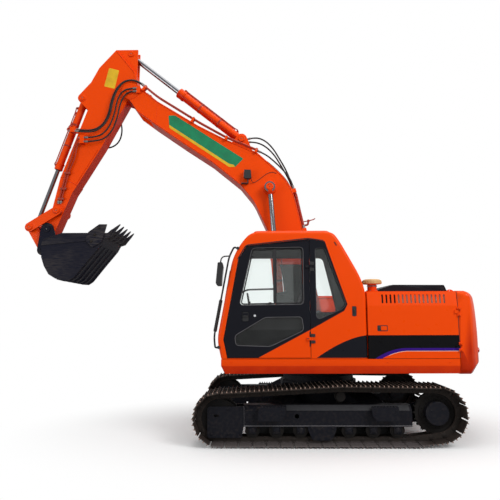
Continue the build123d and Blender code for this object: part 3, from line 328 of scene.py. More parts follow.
def bucket_steel():
    """Dark bucket paint rubbed to steel along its lip, ribs and teeth."""
    surface = Surface("bucket_enamel")
    scratch = surface.noise(24, 8, (0.4, 3, 3))
    worn = surface.edges(0.51, 0.6) * surface.span(scratch, 0.35, 0.6)
    base = surface.mix(surface.span(scratch, 0.5, 0.8), (0.004, 0.0048, 0.0145), (0.007, 0.0078, 0.0165))
    surface.bump(surface.noise(45, 4), 0.12, 0.002)
    return surface.set(Base_Color=surface.mix(worn * 0.6, base, (0.07, 0.06, 0.055)), Specular_IOR_Level=0.12,
                       Roughness=surface.span(scratch, 0.3, 0.7, 0.42, 0.6))


def chrome():
    surface = Surface("chromed_rod")
    return surface.set(Base_Color=(0.24, 0.24, 0.255), Metallic=1.0,
                       Roughness=surface.span(surface.noise(300, 2), 0.3, 0.7, 0.1, 0.2))


def glass():
    surface = Surface("tinted_glass")
    return surface.set(Base_Color=(0.93, 0.965, 0.955), Transmission_Weight=1.0, IOR=1.45,
                       Roughness=surface.span(surface.noise(3), 0.3, 0.7, 0.0, 0.03))


def woven():
    """Seat cloth: a fine square weave."""
    surface = Surface("seat_cloth")
    checks = surface.node("TexBrick", {"Scale": 90, "Vector": surface.node("TexCoord", {}, "Object")}, "Fac")
    surface.bump(checks, 0.4, 0.0008)
    return surface.set(Base_Color=surface.mix(surface.noise(30), (0.03, 0.03, 0.035), (0.07, 0.07, 0.08)),
                       Roughness=0.9)


def plain(name, colour, rough, grain=60, depth=0.15, metallic=0.0):
    """A moulded or cast surface: slight mottling and a fine grain."""
    surface = Surface(name)
    mottle = surface.noise(8, 4)
    surface.bump(surface.noise(grain, 3), depth, 0.001)
    return surface.set(Base_Color=surface.mottled(colour, 0.75, mottle), Metallic=metallic,
                       Roughness=surface.span(mottle, 0.3, 0.7, rough * 0.85, min(1.0, rough * 1.2)))


MATERIALS = {
    "orange": orange_paint(), "cab": cab_paint(), "band": band_paint(), "bucket": bucket_steel(),
    "navy": coated(Surface("navy_enamel"), NAVY, 0.42), "dusty": coated(Surface("navy_enamel"), NAVY, 0.42, 0.32),
    "chrome": chrome(), "glass": glass(), "cloth": woven()}
# key: name, dark, brown, rubbed, wear
MATERIALS.update({key: worn_steel(*row) for key, row in {
    "steel": ("shoe_steel", (0.012, 0.0105, 0.010), (0.036, 0.027, 0.023), (0.09, 0.065, 0.055), 0.3),
    # rubbed: pinkish brown for the grouser strips, partly worn steel and partly painted highlight.
    "rubbed": ("worn_and_glinting_steel", (0.13, 0.08, 0.06), (0.34, 0.21, 0.155), (0.5, 0.36, 0.3), 0.6),
    # dark_steel and chain: dark steel, made near black as painted shade for the parts that sit in shade.
    "dark_steel": ("shade_darkened_steel", (0.006, 0.0058, 0.0062), (0.013, 0.0115, 0.0105), (0.05, 0.042, 0.038), 0.2),
    "chain": ("chain_steel", (0.007, 0.0065, 0.0065), (0.018, 0.014, 0.012), (0.07, 0.055, 0.047), 0.3),
}.items()})
# key: name, colour, roughness, grain, depth of the grain, metallic
MATERIALS.update({key: plain(*row) for key, row in {
    "black": ("black_plastic", (0.02, 0.02, 0.022), 0.5), "rubber": ("rubber", (0.016, 0.015, 0.015), 0.7),
    "beige": ("beige_plastic", (0.66, 0.40, 0.16), 0.6), "green": ("green_film", (0.004, 0.24, 0.10), 0.35),
    "yellow": ("yellow_film", (0.83, 0.50, 0.01), 0.4), "casting": ("grey_casting", (0.11, 0.11, 0.11), 0.7, 30, 0.4),
    "lens": ("clear_lens", (0.7, 0.72, 0.75), 0.1), "red": ("red_lens", (0.5, 0.01, 0.01), 0.25),
    "mirror": ("mirror", (0.6, 0.6, 0.62), 0.05, 60, 0, 1.0), "grey": ("grey_panel", LINING, 0.6),
    "bare": ("bare_steel", (0.28, 0.26, 0.25), 0.45, 60, 0.2, 0.8),
    "tread": ("tread_steel", (0.021, 0.0205, 0.0245), 0.6, 90, 0.5),
    # edge: a lighter grey for thin lines along edges and seals: painted highlight.
    "edge": ("rubbed_edge", (0.13, 0.125, 0.135), 0.5, 90, 0.4),
    # pipe: the pipes' orange made darker: painted shade.
    "pipe": ("pipe_enamel", (0.42, 0.024, 0.002), 0.35, 120, 0.1),
    "felt": ("pale_felt", (0.90, 0.82, 0.70), 0.9, 200, 0.5),
    # shade: near black, for sheets and strips put where there is only shade: painted shade.
    "shade": ("dark_trim", (0.006, 0.0065, 0.0075), 0.6, 80, 0.2),
    "rusty": ("rusty_steel", (0.12, 0.06, 0.035), 0.8, 50, 0.4, 0.2),
}.items()})

for key, names in {
    "orange": "house_panels side_tanks tool_box boom boom_cylinder_barrels arm arm_cylinder_barrel "
              "bucket_cylinder_barrel rocker_links bucket_link pre_cleaner",
    "cab": "cab_door cab_floor", "band": "left_side_door right_side_door", "navy": "revolving_frame",
    "dusty": "track_frames final_drives centre_frame track_steps", "steel": "track_left track_right",
    "dark_steel": "front_idlers drive_sprockets track_rollers swing_bearing", "bucket": "bucket bucket_teeth",
    "chrome": "boom_cylinder_rods arm_cylinder_rod bucket_cylinder_rod", "glass": "cab_side_glass cab_door_glass",
    "black": "control_consoles left_mirror right_handrail boom_light", "casting": "engine_block",
}.items():
    for name in names.split():
        NODES[name].data.materials.clear()
        NODES[name].data.materials.append(MATERIALS[key])


# ------------------------------------------------------------------ shapes

def rounded(route, cut, steps=5):
    """A route's points, with each corner cut by a short curve."""
    points = [route[0]]
    for before, corner, after in zip(route, route[1:], route[2:]):
        back, on = before - corner, after - corner
        start = corner + back.normalized() * min(cut, back.length * 0.48)
        end = corner + on.normalized() * min(cut, on.length * 0.48)
        for step in range(steps + 1):
            share = step / steps
            points.append(start.lerp(corner, share).lerp(corner.lerp(end, share), share))
    return points + [route[-1]]


def rounded_outline(corners, cut, steps=4):
    """A closed side-view outline with cut corners, in millimetres."""
    points = [Vector((*corner, 0)) for corner in corners]
    ring = rounded([points[-1]] + points + [points[0]], cut, steps)[1:-1]
    return [(point.x, point.y) for point in ring]


class Piece:
    """One visible piece, gathered from simple turned, sawn and bent shapes."""

    def __init__(self, name, body, key):
        self.name, self.body, self.key = name, body, key
        self.mesh = bmesh.new()

    def skin(self, rings, closed=False):
        """A skin over a run of equal rings of points, with flat ends."""
        rows = [[self.mesh.verts.new(point) for point in ring] for ring in rings]
        for near, far in zip(rows, rows[1:] + rows[:1] if closed else rows[1:]):
            for this, following in zip(range(len(near)), list(range(1, len(near))) + [0]):
                self.mesh.faces.new((near[this], near[following], far[following], far[this]))
        if not closed:
            self.mesh.faces.new(rows[0][::-1])
            self.mesh.faces.new(rows[-1])
        return self

    def prism(self, outline, low, high, axis="Y"):
        """An outline in the side, top or end view, pushed from low to high."""
        place = {"Y": lambda a, b, c: at(a, c, b), "Z": lambda a, b, c: at(a, b, c),
                 "X": lambda a, b, c: at(c, a, b)}[axis]
        return self.skin([[place(a, b, level) for a, b in outline] for level in (low, high)])

    def box(self, x, y, z):
        return self.prism(block(x, z), *y)

    def lathe(self, centre, axis, profile, sides=28, spin=0.0, hollow=False):
        """A turned shape: profile gives millimetres along the axis, then radius; hollow joins its ends as a ring."""
        centre, turn = spot_of(centre), axis.to_track_quat("Z", "Y")
        angles = [spin + 2 * math.pi * number / sides for number in range(sides)]
        return self.skin([[centre + turn @ Vector((radius * MM * math.cos(angle), radius * MM * math.sin(angle),
                                                   along * MM)) for angle in angles]
                          for along, radius in profile], hollow)

    def bolt(self, centre, axis, across, spin=0.3):
        """A hexagon head on its washer."""
        self.lathe(centre, axis, [(-1, across * 0.66), (across * 0.12, across * 0.66)], 14)
        return self.lathe(centre, axis, [(across * 0.1, across * 0.56), (across * 0.5, across * 0.56),
                                         (across * 0.62, across * 0.44)], 6, spin)

    def bolts(self, places, axis, across):
        for place in places:
            self.bolt(place, axis, across)
        return self

    def bolt_ring(self, centre, axis, radius, count, across):
        turn = axis.to_track_quat("Z", "Y")
        for number in range(count):
            angle = 2 * math.pi * number / count
            self.bolt(spot_of(centre) + turn @ Vector((math.cos(angle), math.sin(angle), 0)) * radius * MM, axis,
                      across, angle)
        return self

    def tube(self, route, radius, cut=50, sides=10, closed=False, y=None):
        """A bent bar along a route of points, or of points in the side view where y is given."""
        points = [at(*point) if y is None else at(point[0], y, point[1]) for point in route]
        if closed:
            points = rounded([points[-1]] + points + [points[0]], cut * MM)[1:-1]
        else:
            points = rounded(points, cut * MM)
        count = len(points)
        rings, side = [], None
        for number, point in enumerate(points):
            before = points[number - 1] if closed or number else point
            after = points[(number + 1) % count] if closed or number < count - 1 else point
            way = (after - before).normalized()
            side = side or way.orthogonal()
            side = (side - way * side.dot(way)).normalized()
            over = way.cross(side)
            rings.append([point + (side * math.cos(angle) + over * math.sin(angle)) * radius * MM
                          for angle in (2 * math.pi * step / sides for step in range(sides))])
        return self.skin(rings, closed)

    def done(self, bevel=0.0, sharp=35):
        bmesh.ops.recalc_face_normals(self.mesh, faces=self.mesh.faces)
        mesh = bpy.data.meshes.new(self.name)
        self.mesh.to_mesh(mesh)
        self.mesh.free()
        mesh.shade_smooth()
        mesh.set_sharp_from_angle(angle=math.radians(sharp))
        mesh.materials.append(MATERIALS[self.key])
        piece = added(self.name, mesh)
        if bevel:
            modifier = piece.modifiers.new("edge", "BEVEL")
            modifier.width, modifier.segments = bevel * MM, 2
            modifier.angle_limit = math.radians(40)
        if self.body is None:
            return piece
        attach(piece, self.body)
        return piece


def cut_away(piece, *cutters, operation="DIFFERENCE"):
    """The piece's mesh with some others cut out of it (or kept of it); cut faces keep the cutter's material."""
    for cutter in cutters:
        modifier = piece.modifiers.new("cut", "BOOLEAN")
        modifier.object, modifier.operation, modifier.material_mode = cutter, operation, "TRANSFER"
    bpy.context.view_layer.update()
    cut = bpy.data.meshes.new_from_object(piece.evaluated_get(bpy.context.evaluated_depsgraph_get()))
    piece.modifiers.clear()
    piece.data = cut
    cut.set_sharp_from_angle(angle=math.radians(30))
    for cutter in cutters:
        bpy.data.objects.remove(cutter)
    return piece


def copied(node, body, key):
    """A new piece with the form of a CAD node, to be cut and to stand in for it."""
    piece = Piece(f"{node}_form", body, key)
    piece.mesh.from_mesh(NODES[node].data)
    bmesh.ops.transform(piece.mesh, matrix=NODES[node].matrix_world, verts=piece.mesh.verts)
    bmesh.ops.remove_doubles(piece.mesh, verts=piece.mesh.verts, dist=0.00001)
    piece = piece.done(0, 30)
    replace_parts(piece, node)
    return piece


# ------------------------------------------------------------------ hoses

HOSE_RADIUS = 0.012
BOOM_HOSE = [(890, 4218), (770, 4166), (640, 4055), (520, 3935), (425, 3820), (362, 3706), (337.5, 3608)]
# name, body of the first end, body of the last, y, and x and z of each point
HOSES = [
    ("bucket_hose_1", "boom", "arm", 158,
     [(2680.5, 5283.5), (2796, 5381), (2990, 5420), (3140, 5290), (3225, 5060), (3255, 4840), (3350, 4650),
      (3540, 4560), (3760, 4592)]),
    ("bucket_hose_2", "boom", "arm", 210,
     [(2680.5, 5283.5), (2788, 5374), (2965, 5390), (3105, 5265), (3185, 5045), (3215, 4820), (3320, 4610),
      (3520, 4510), (3760, 4550)]),
    ("option_hose_1", "boom", "arm", 210,
     [(2810.5, 5245), (2940, 5245), (3056, 5180), (3122, 5010), (3155, 4790), (3245, 4565), (3400, 4440),
      (3610, 4440)]),
    ("option_hose_2", "boom", "arm", 210,
     [(2810.5, 5195), (2920, 5195), (3010, 5120), (3070, 4970), (3100, 4760), (3190, 4510), (3360, 4375),
      (3610, 4375)]),
    ("far_side_hose", "boom", "arm", -158,
     [(2680.5, 5283.5), (2796, 5381), (2980, 5400), (3100, 5290), (3140, 5090), (3150, 4870), (3110, 4660),
      (3170, 4460), (3350, 4370), (3610, 4385)]),
    ("arm_hose_1", "arm_cylinder_barrel", "boom", 25,
     [(1060, 4455), (930, 4490), (780, 4440), (650, 4310), (545, 4130), (440, 3940), (368, 3750), (337.5, 3608)]),
    ("arm_hose_2", "arm_cylinder_barrel", "boom", -25,
     [(1060, 4425), (930, 4430), (770, 4360), (635, 4225), (535, 4060), (440, 3888), (364, 3730), (337.5, 3608)]),
    ("boom_hose_left", "boom", "boom", 158, BOOM_HOSE), ("boom_hose_right", "boom", "boom", -158, BOOM_HOSE)]
FERRULE = [(-6, 15), (8, 15), (10, 17.5), (52, 17.5), (54, 16), (58, 16), (60, 12.5)]


def lay_hose(name, body, far_body, points):
    """A hose along a route; one that crosses a joint is made a plain mesh, attached to neither body."""
    curve = bpy.data.curves.new(f"{name}_line", "CURVE")
    curve.dimensions = "3D"
    curve.resolution_u = 10
    spline = curve.splines.new("NURBS")
    spline.points.add(len(points) - 1)
    for knot, point in zip(spline.points, points):
        knot.co = (*point, 1)
    spline.order_u = 3
    spline.use_endpoint_u = True
    hose = added(f"{name}_line", curve)
    bpy.context.view_layer.update()
    path = [tuple(vertex.co) for vertex in bpy.data.meshes.new_from_object(hose).vertices]
    curve.bevel_depth = HOSE_RADIUS
    curve.bevel_resolution = 3
    curve.use_fill_caps = True
    curve.materials.append(MATERIALS["rubber"])
    if body == far_body:
        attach(hose, body)
    else:
        mesh = bpy.data.meshes.new_from_object(hose)
        bpy.data.objects.remove(hose)
        mesh.shade_smooth()
        hose = added(f"{name}_line", mesh)
        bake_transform(hose)
    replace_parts(hose, name)


ferrules = {}
for name, body, far_body, y, route in HOSES:
    points = [at(x, y, z) for x, z in route]
    lay_hose(name, body, far_body, points)
    for end, following, rides in ((points[0], points[1], body), (points[-1], points[-2], far_body)):
        way = (following - end).normalized()
        if rides not in ferrules:
            ferrules[rides] = Piece(f"ferrules_{rides}", rides, "bare")
        ferrules[rides].lathe(end, way, FERRULE, 16).lathe(end, way, [(-14, 19), (4, 19)], 6)
for fitting in ferrules.values():
    fitting.done()


# ------------------------------------------------------------------ tracks and track frames

# x, z and radius of the circles that the shoes' tips run on
SPROCKET = (-1393, 404)
LOOP = [(-1050, 350, 350), (1400, 350, 346), (-170, 600, 180), (*SPROCKET, 357)]
SHOE_COUNT, SHOE_DEPTH, PLATE_TOP = 43, 34, 20
ARC_STEP = 0.04
TRACK_Y, SHOE_END, LINK_FACE = 995, 249, 84
FRAME_FACE = 1119
ROLLER_XS = [-880, -570, -260, 50, 360, 670, 980]
ROLLER_Z = 195
STEP_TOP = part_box("track_steps")[1][2] / MM
GROUSER = [(-7, 20), (-4, 1), (4, 1), (7, 20)]
GROUSER_TIP = [(-5, 5), (-4.4, 0.3), (4.4, 0.3), (5, 5)]
LINK = [(-77, 70), (-66, 46), (-46, 39), (-18, 48), (18, 48), (46, 39), (66, 46), (77, 70), (66, 96), (46, 102),
        (-46, 102), (-66, 96)]


def towards(angle):
    return Vector((math.cos(angle), math.sin(angle)))


def loop_stations(shift=0.0):
    """Evenly spaced places at shoe depth round the track loop: the point and its outward angle."""
    circles = [(Vector((x, z)), radius - SHOE_DEPTH) for x, z, radius in LOOP + LOOP[:2]]
    turns = []
    for (near, near_radius), (far, far_radius) in zip(circles, circles[1:]):
        ahead = far - near
        turn = math.atan2(ahead.y, ahead.x) - math.acos((near_radius - far_radius) / ahead.length)
        while turns and turn < turns[-1]:
            turn += 2 * math.pi
        turns.append(turn)
    path = []
    for (near, near_radius), (far, far_radius), turn, after in zip(circles, circles[1:], turns, turns[1:]):
        path.append((near + towards(turn) * near_radius, turn))
        steps = max(1, int((after - turn) / ARC_STEP))
        for angle in [turn + (after - turn) * step / steps for step in range(steps)]:
            path.append((far + towards(angle) * far_radius, angle))
    path.append((path[0][0], turns[-1]))
    lengths = [0.0]
    for (near, _), (far, _) in zip(path, path[1:]):
        lengths.append(lengths[-1] + (far - near).length)
    stations = []
    for number in range(SHOE_COUNT):
        goal = lengths[-1] * (number + shift) / SHOE_COUNT
        index = next(i for i in range(1, len(lengths)) if lengths[i] >= goal and lengths[i] > lengths[i - 1])
        share = (goal - lengths[index - 1]) / (lengths[index] - lengths[index - 1])
        (near, angle), (far, far_angle) = path[index - 1], path[index]
        stations.append((near.lerp(far, share), angle + (far_angle - angle) * share))
    return stations


def track_trim(name, side):
    """Chain links with their pins, four bolts on each shoe, and lighter strips on its grousers' tips and ends: partly
    worn steel, partly painted highlight.
    """
    chain, bolts, wear = (Piece(f"{name}_{part}", "undercarriage", key) for part, key in (
        ("chain", "chain"), ("shoe_bolts", "chain"), ("grouser_glints_and_wear", "rubbed")))

    def spot(place, angle, along, depth, y):
        out = Vector((math.cos(angle), 0, math.sin(angle)))
        way = Vector((-out.z, 0, out.x))
        return at(place.x, side * y, place.y) + (way * along + out * (SHOE_DEPTH - depth)) * MM

    def bar(piece, outline, middle, low, high):
        piece.skin([[spot(place, angle, middle + along, depth, TRACK_Y + y) for along, depth in outline]
                    for y in (low, high)])

    for place, angle in loop_stations():
        out = Vector((math.cos(angle), 0, math.sin(angle)))
        for middle in (-60, 0, 60):
            bar(wear, GROUSER, middle, -SHOE_END - 3, -SHOE_END)
            bar(wear, GROUSER, middle, SHOE_END, SHOE_END + 3)
            bar(wear, GROUSER_TIP, middle, -SHOE_END, SHOE_END)
        for rail in (-70, 70):
            bolts.bolts([spot(place, angle, along, PLATE_TOP, TRACK_Y + rail) for along in (-28, 28)], out, 22)
        bar(chain, LINK, 0, -LINK_FACE - 7, -LINK_FACE)
        bar(chain, LINK, 0, LINK_FACE, LINK_FACE + 7)
    for place, angle in loop_stations(0.5):
        for outward in (-1, 1):
            centre = spot(place, angle, 0, 70, TRACK_Y + outward * LINK_FACE)
            chain.lathe(centre, LEFT * side * outward, [(0, 31), (9, 31), (11, 28)], 18)
            chain.lathe(centre, LEFT * side * outward, [(11, 19), (13, 19), (14, 16)], 14)
    for piece in (chain, bolts, wear):
        piece.done()


def frame_trim(name, side):
    """Bolts, caps, covers and welds of one track frame."""
    def part(label, key):
        return Piece(f"{name}_{label}", "undercarriage", key)

    out, face = LEFT * side, side * FRAME_FACE
    trim = part("frame_trim", "dusty")
    for x in ROLLER_XS:
        trim.lathe((x, face, ROLLER_Z), out, [(0, 36), (9, 36), (12, 31)], 20)
        trim.bolts([(x + along, face, ROLLER_Z + up) for along in (-31, 31) for up in (42, -30)], out, 14)
    trim.bolts([(x, face, z) for x, z in ((1130, 455), (1130, 150), (1500, 150), (1290, 455), (1290, 150))], out, 22)
    trim.prism(rounded_outline(block((960, 1060), (300, 400)), 16), face, face + side * 8)
    trim.bolts([(x, face + side * 8, z) for x in (974, 1046) for z in (314, 386)], out, 12)
    trim.bolts([(x, side * 1133, 225) for x in (-50, 85, 220)], out, 20)
    trim.bolts([(x, side * 1223, z) for x in (600, 860, -580, -840) for z in (455, 415)], out, 14)
    hub = at(SPROCKET[0], side * 1120, SPROCKET[1])
    trim.lathe(hub, out, [(-44, 151), (5, 151), (12, 144), (14, 70), (14, 40)], 56)
    for turn in (0.4, 2.5):
        trim.lathe(hub + (FORWARD * math.cos(turn) + UP * math.sin(turn)) * 84 * MM + out * 13 * MM, out,
                   [(-2, 12), (3, 12), (5, 8)], 16)
    trim.done(1.5)
    ring = part("sprocket_ring", "dark_steel")
    ring.lathe((SPROCKET[0], side * 1022, SPROCKET[1]), out, [(0, 212), (10, 212), (13, 206), (13, 150)], 56)
    ring.bolt_ring((SPROCKET[0], side * 1034, SPROCKET[1]), out, 181, 18, 20).done(1.5)
    # A near-black sheet behind the rollers, inside the track chain: painted shade.
    part("roller_shade_sheet", "shade").prism(
        [(-1010, 122), (-1010, 300), (985, 300), (985, 122), (930, 104), (-950, 104)], side * 905, side * 913).done(1)
    teeth = part("step_teeth", "dusty")
    for x in [start + 40 * number for start in (574, -866) for number in range(8)]:
        teeth.prism([(x, STEP_TOP - 6), (x + 6, STEP_TOP + 20), (x + 18, STEP_TOP + 20), (x + 24, STEP_TOP - 6)],
                    side * 1212, side * 1220)
    teeth.done(1)
    welds = part("frame_welds", "dusty")
    welds.tube([(1092, 250), (1092, 488)], 6, 10, y=face + side * 2)
    welds.tube([(-1062, 440), (1086, 440)], 5, 10, y=side * 1120)
    for x in ROLLER_XS:
        welds.tube([(x - 46, 160), (x - 46, 246), (x + 46, 246), (x + 46, 160)], 4.5, 12, y=face + side * 2)
    welds.done()
    part("beam_tread", "tread").prism([(side * y, z) for y, z in (
        (1061, 504), (1120, 441), (1123, 444), (1064, 507))], -1040, 540, "X").done(1)
    # Lighter strips along the beam's lower flange and its front edge: painted highlight.
    lip = part("beam_edge_highlights", "edge").box((-1068, 1090), sorted((side * 1118, side * 1127)), (248, 258))
    lip.box((1084, 1093), sorted((side * 1112, side * 1124)), (258, 492)).done(1)


track_trim("left_track", 1)
track_trim("right_track", -1)
frame_trim("left", 1)
frame_trim("right", -1)
Piece("swing_ring_bolts", "undercarriage", "dusty").bolt_ring((0, 0, 800), UP, 509, 40, 14).done()


# ------------------------------------------------------------------ house

SIDE_Y = 1200
SKIRT = [(SIDE_Y - 12, 1100), (SIDE_Y, 1100), (SIDE_Y, 1016), (SIDE_Y - 1, 1009), (SIDE_Y - 25, 914),
         (SIDE_Y - 37, 914), (SIDE_Y - 13, 1009), (SIDE_Y - 12, 1016)]
# z, then radius from the swing axis
TAIL = [(880, 2144), (905, 2163), (1030, 2236), (1046, 2241), (1300, 2241), (1450, 2238), (1600, 2232),
        (1731, 2224), (1820, 2215), (1885, 2206), (1915, 2196), (1940, 2180), (1960, 2158), (1972, 2135),
        (1977, 2118), (2040, 2118)]


def side_door_trim(name, side):
    """Louvre slats, a paddle latch and a seal on one rear side door."""
    for label, key, rear, front in (("slats", "black", -920, -700), ("felt", "felt", -1600, -922)):
        Piece(f"{name}_{label}", name, key).prism([(side * y, z) for y, z in (
            (1150, 1806), (1160, 1806), (1140, 1934), (1130, 1934))], rear, front, "X").done()
    lips = Piece(f"{name}_louvre_lips", name, "orange")
    for x in [-712 - 53.5 * number for number in range(16)]:
        lips.tube([(x, side * 1190, 1818), (x, side * 1173, 1922)], 4, 5, 8)
    lips.done()
    latch = Piece(f"{name}_latch", name, "black")
    latch.prism(rounded_outline(block((-778, -646), (1453, 1527)), 10), side * 1196, side * 1199)
    latch.lathe((-668, side * 1198, 1490), LEFT * side, [(0, 13), (6, 13), (8, 10)], 20).done(1)
    Piece(f"{name}_paddle", name, "orange").prism(rounded_outline(block((-768, -690), (1463, 1517)), 8),
                                                  side * 1199, side * 1206).done(1)
    Piece(f"{name}_seal", name, "rubber").tube([(-1684, 1118), (-1684, 1775), (-538, 1775), (-538, 1118)], 6, 20, 8,
                                               True, side * 1157).done()


skirts = Piece("side_skirt_panels", HOUSE, "orange")
for side in SIDES:
    skirts.skin([[at(x - max(0, 1013 - z) * slant, side * (y - fold), z) for y, z in SKIRT]
                 for x, slant, fold in ((-1690, 0, 0), (1360, 0.5, 0), (1372, 0.5, 2.5), (1380, 0.5, 8))])
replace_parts(skirts.done(), "side_skirts")
cut_away(copied("counterweight", HOUSE, "orange"),
         Piece("tail_turning", None, "orange").lathe((0, 0, 0), UP, TAIL, 240).done(), operation="INTERSECT")
cut_away(copied("engine_hood", "engine_hood", "navy"), Piece("hood_wedge", None, "navy").prism(
    [(-1720, 1985), (-1693, 1985), (-1648, 2090), (-1720, 2090)], -900, 900).done())
side_door_trim("left_side_door", 1)
side_door_trim("right_side_door", -1)

latches = Piece("hood_latches", "engine_hood", "black")
for y in (-560, 560):
    latches.box((-1650, -1630), (y - 40, y + 40), (2071, 2084))
    latches.lathe((-1600, y, 2066), UP, [(0, 22), (10, 22), (12, 18)], 20)
latches.done(2)
grille = Piece("hood_grille", "engine_hood", "black")
for x in range(-1586, -1053, 76):
    grille.box((x, x + 38), (-590, 590), (2070, 2076))
grille.done(1)
Piece("exhaust_stack", "engine_hood", "rusty").lathe((-1290, -700, 2068), UP, [(0, 62), (6, 62), (8, 46), (60, 46)],
                                                     32).done()
cap = Piece("pre_cleaner_cap", HOUSE, "beige")
cap.lathe((-640, 980, 2074), UP, [(0, 118), (4, 128), (44, 128), (51, 122), (62, 102), (65, 88), (66, 30)], 48)
for angle in [2 * math.pi * number / 24 for number in range(24)]:
    cap.lathe((-640 + 128 * math.cos(angle), 980 + 128 * math.sin(angle), 2082), UP, [(0, 3.5), (26, 3.5)], 8)
cap.done(1)
clamp = Piece("pre_cleaner_clamp", HOUSE, "bare")
clamp.lathe((-640, 980, 2040), UP, [(0, 63), (0, 66), (14, 66), (14, 63)], 40)
clamp.tube([(-640, 1044, 2047), (-610, 1052, 2047)], 5, 4, 8).bolt_ring((-640, 980, 1986), UP, 71, 6, 9).done()
lights = Piece("rear_lights", HOUSE, "red")
for y in (-700, 700):
    lights.lathe((-2127, y, 1180), -FORWARD, [(-30, 34), (12, 34), (15, 28)], 28)
lights.done()
tank = Piece("tank_fittings", HOUSE, "black")
tank.lathe((400, -950, 1929), UP, [(0, 62), (10, 62), (12, 50), (40, 50), (46, 44)], 36)
tank.lathe((-300, -800, 1929), UP, [(0, 130), (10, 130), (13, 124)], 44)
tank.bolt_ring((-300, -800, 1940), UP, 108, 8, 16).box((-20, 540), (-1150, -1060), (1930, 1936)).done(1)
tool = Piece("tool_box_fittings", HOUSE, "black")
tool.tube([(760, -1196, 1400), (760, -1220, 1400), (900, -1220, 1400), (900, -1196, 1400)], 7, 14)
tool.box((640, 1290), (-1150, -480), (1520, 1524))
for x in (680, 965, 1250):
    for y in (-1110, -800, -520):
        tool.lathe((x, y, 1523), UP, [(0, 22), (3, 22), (4, 18)], 20)
tool.done(1)
feet = Piece("rail_feet", HOUSE, "black")
for x, z in ((1290, 1520), (500, 1930)):
    feet.lathe((x, -1150, z), UP, [(-2, 34), (8, 34), (10, 22)], 24)
feet.tube([(1278, -1150, 1900), (1302, -1150, 1900)], 22, 5, 16).done()
skirt_bolts = Piece("skirt_bolts", HOUSE, "orange")
joint = Piece("counterweight_joint", HOUSE, "rubber")
for side in SIDES:
    skirt_bolts.bolts([(x, side * 1199, 1060) for x in (-1560, -760, 1250)], LEFT * side, 13)
    joint.tube([(-1694, side * 1198, 1115), (-1694, side * 1198, 1770), (-1694, side * 1172, 1966)], 4, 40, 8)
skirt_bolts.done()
joint.done()
lid_bolts = Piece("counterweight_bolts", HOUSE, "black")
for x, y in ((-2010, -336), (-1980, -336), (-2010, 336), (-1980, 336)):
    lid_bolts.lathe((x, y, 1975), UP, [(-4, 24), (2, 24), (3, 20)], 20)
lid_bolts.done()

# ------------------------------------------------------------------ cab

DOOR_WINDOW = [(300, 1802), (300, 2557), (975, 2546), (1148, 1790)]
LOW_WINDOW = [(305, 1467), (329, 1640), (809, 1635), (1204, 1400), (1189, 1274), (740, 1260)]
QUARTER_WINDOW = [(143, 2543), (14, 2542), (-251, 1800), (-200, 1740), (105, 1605), (143, 1640)]
RIGHT_WINDOW = [(1040, 2500), (1200, 1700), (-250, 1700), (-60, 2500)]
DOOR_OPENING = [(215, 1111), (215, 2648), (1054, 2568), (1157, 2404), (1352, 1350), (1301, 1111)]
CAB_OUTLINE = [(1370, 1102), (1380, 1102), (1382, 1112), (1436, 1345), (1234, 2418), (1121, 2621), (985, 2770),
               (-95, 2770), (-188, 2643), (-441, 2182), (-513, 1973), (-513, 1112), (-513, 1102), (-503, 1102)]
CAB_INNER = [(1335, 1142), (1390, 1350), (1192, 2402), (1088, 2590), (965, 2700), (-75, 2700), (-150, 2622),
             (-402, 2166), (-473, 1965), (-473, 1142)]
RIM, RIGHT_RIM = 44, 24
# name, outline, y from and to, material of the cut
CAB_CUTS = [
    ("cavity", rounded_outline(CAB_INNER, 100, 6), 425, 1160, "grey"),
    ("door_hole", DOOR_OPENING, 1150, 1210, "black"),
    ("quarter_hole", rounded_outline(QUARTER_WINDOW, 34), 1150, 1210, "black"),
    ("right_hole", rounded_outline(RIGHT_WINDOW, 66), 375, 435, "black"),
    ("front_hole", block((1100, 1500), (1700, 2388)), 485, 1100, "black"),
    ("foot_hole", block((1100, 1500), (1220, 1640)), 485, 1100, "black"),
    ("rear_hole", block((-600, -80), (1950, 2480)), 505, 1080, "black"),
    ("catch_hole", rounded_outline(block((-386, -321), (1640, 1780)), 20), 1192, 1210, "cab")]


def inset(outline, depth):
    """A side outline moved inwards, and hardly at all along its foot."""
    points = [Vector(point) for point in outline]
    moved = []
    for before, point, after in zip([points[-1]] + points[:-1], points, points[1:] + [points[0]]):
        run = (after - before).normalized()
        share = 0.1 if point.y < 1110 else 1.0
        moved.append((point.x - run.y * depth, point.y + run.x * depth * share))
    return moved


rings = [(385 + RIGHT_RIM * (1 - math.sin(step * math.pi / 8)), RIGHT_RIM * (1 - math.cos(step * math.pi / 8)))
         for step in (4, 3, 2, 1, 0)]
rings += [(SIDE_Y - RIM * (1 - math.sin(step * math.pi / 12)), RIM * (1 - math.cos(step * math.pi / 12)))
          for step in range(7)]
shell = Piece("cab_shell", HOUSE, "cab").skin(
    [[at(x, y, z) for x, z in inset(rounded_outline(CAB_OUTLINE, 118, 6), depth)] for y, depth in rings]).done(0, 30)
cut_away(shell, *(Piece(name, None, key).prism(outline, low, high).done()
                  for name, outline, low, high, key in CAB_CUTS))
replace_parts(shell, "cab_left_side", "cab_right_side", "cab_front", "cab_roof", "cab_rear")
knuckles = Piece("cab_hinges", HOUSE, "black")
for z in (1360, 2300):
    for low in (z - 60, z + 21):
        knuckles.lathe((205, 1215, low), UP, [(0, 9), (1, 11), (38, 11), (39, 9)], 20)
        knuckles.box((160, 200), (1196, 1206), (low, low + 39))
    knuckles.lathe((205, 1215, z - 62), UP, [(0, 4), (0, 6.5), (124, 6.5), (124, 4)], 14)
knuckles.done()
Piece("cab_roof_panel", HOUSE, "cab").skin(
    [[at(x, y, z) for x, y in rounded_outline(block((-95 + cut, 985 - cut), (402 + cut, 1182 - cut)), 70)]
     for z, cut in ((2764, 30), (2776, 34), (2786, 50), (2790, 76))]).done(0, 50)
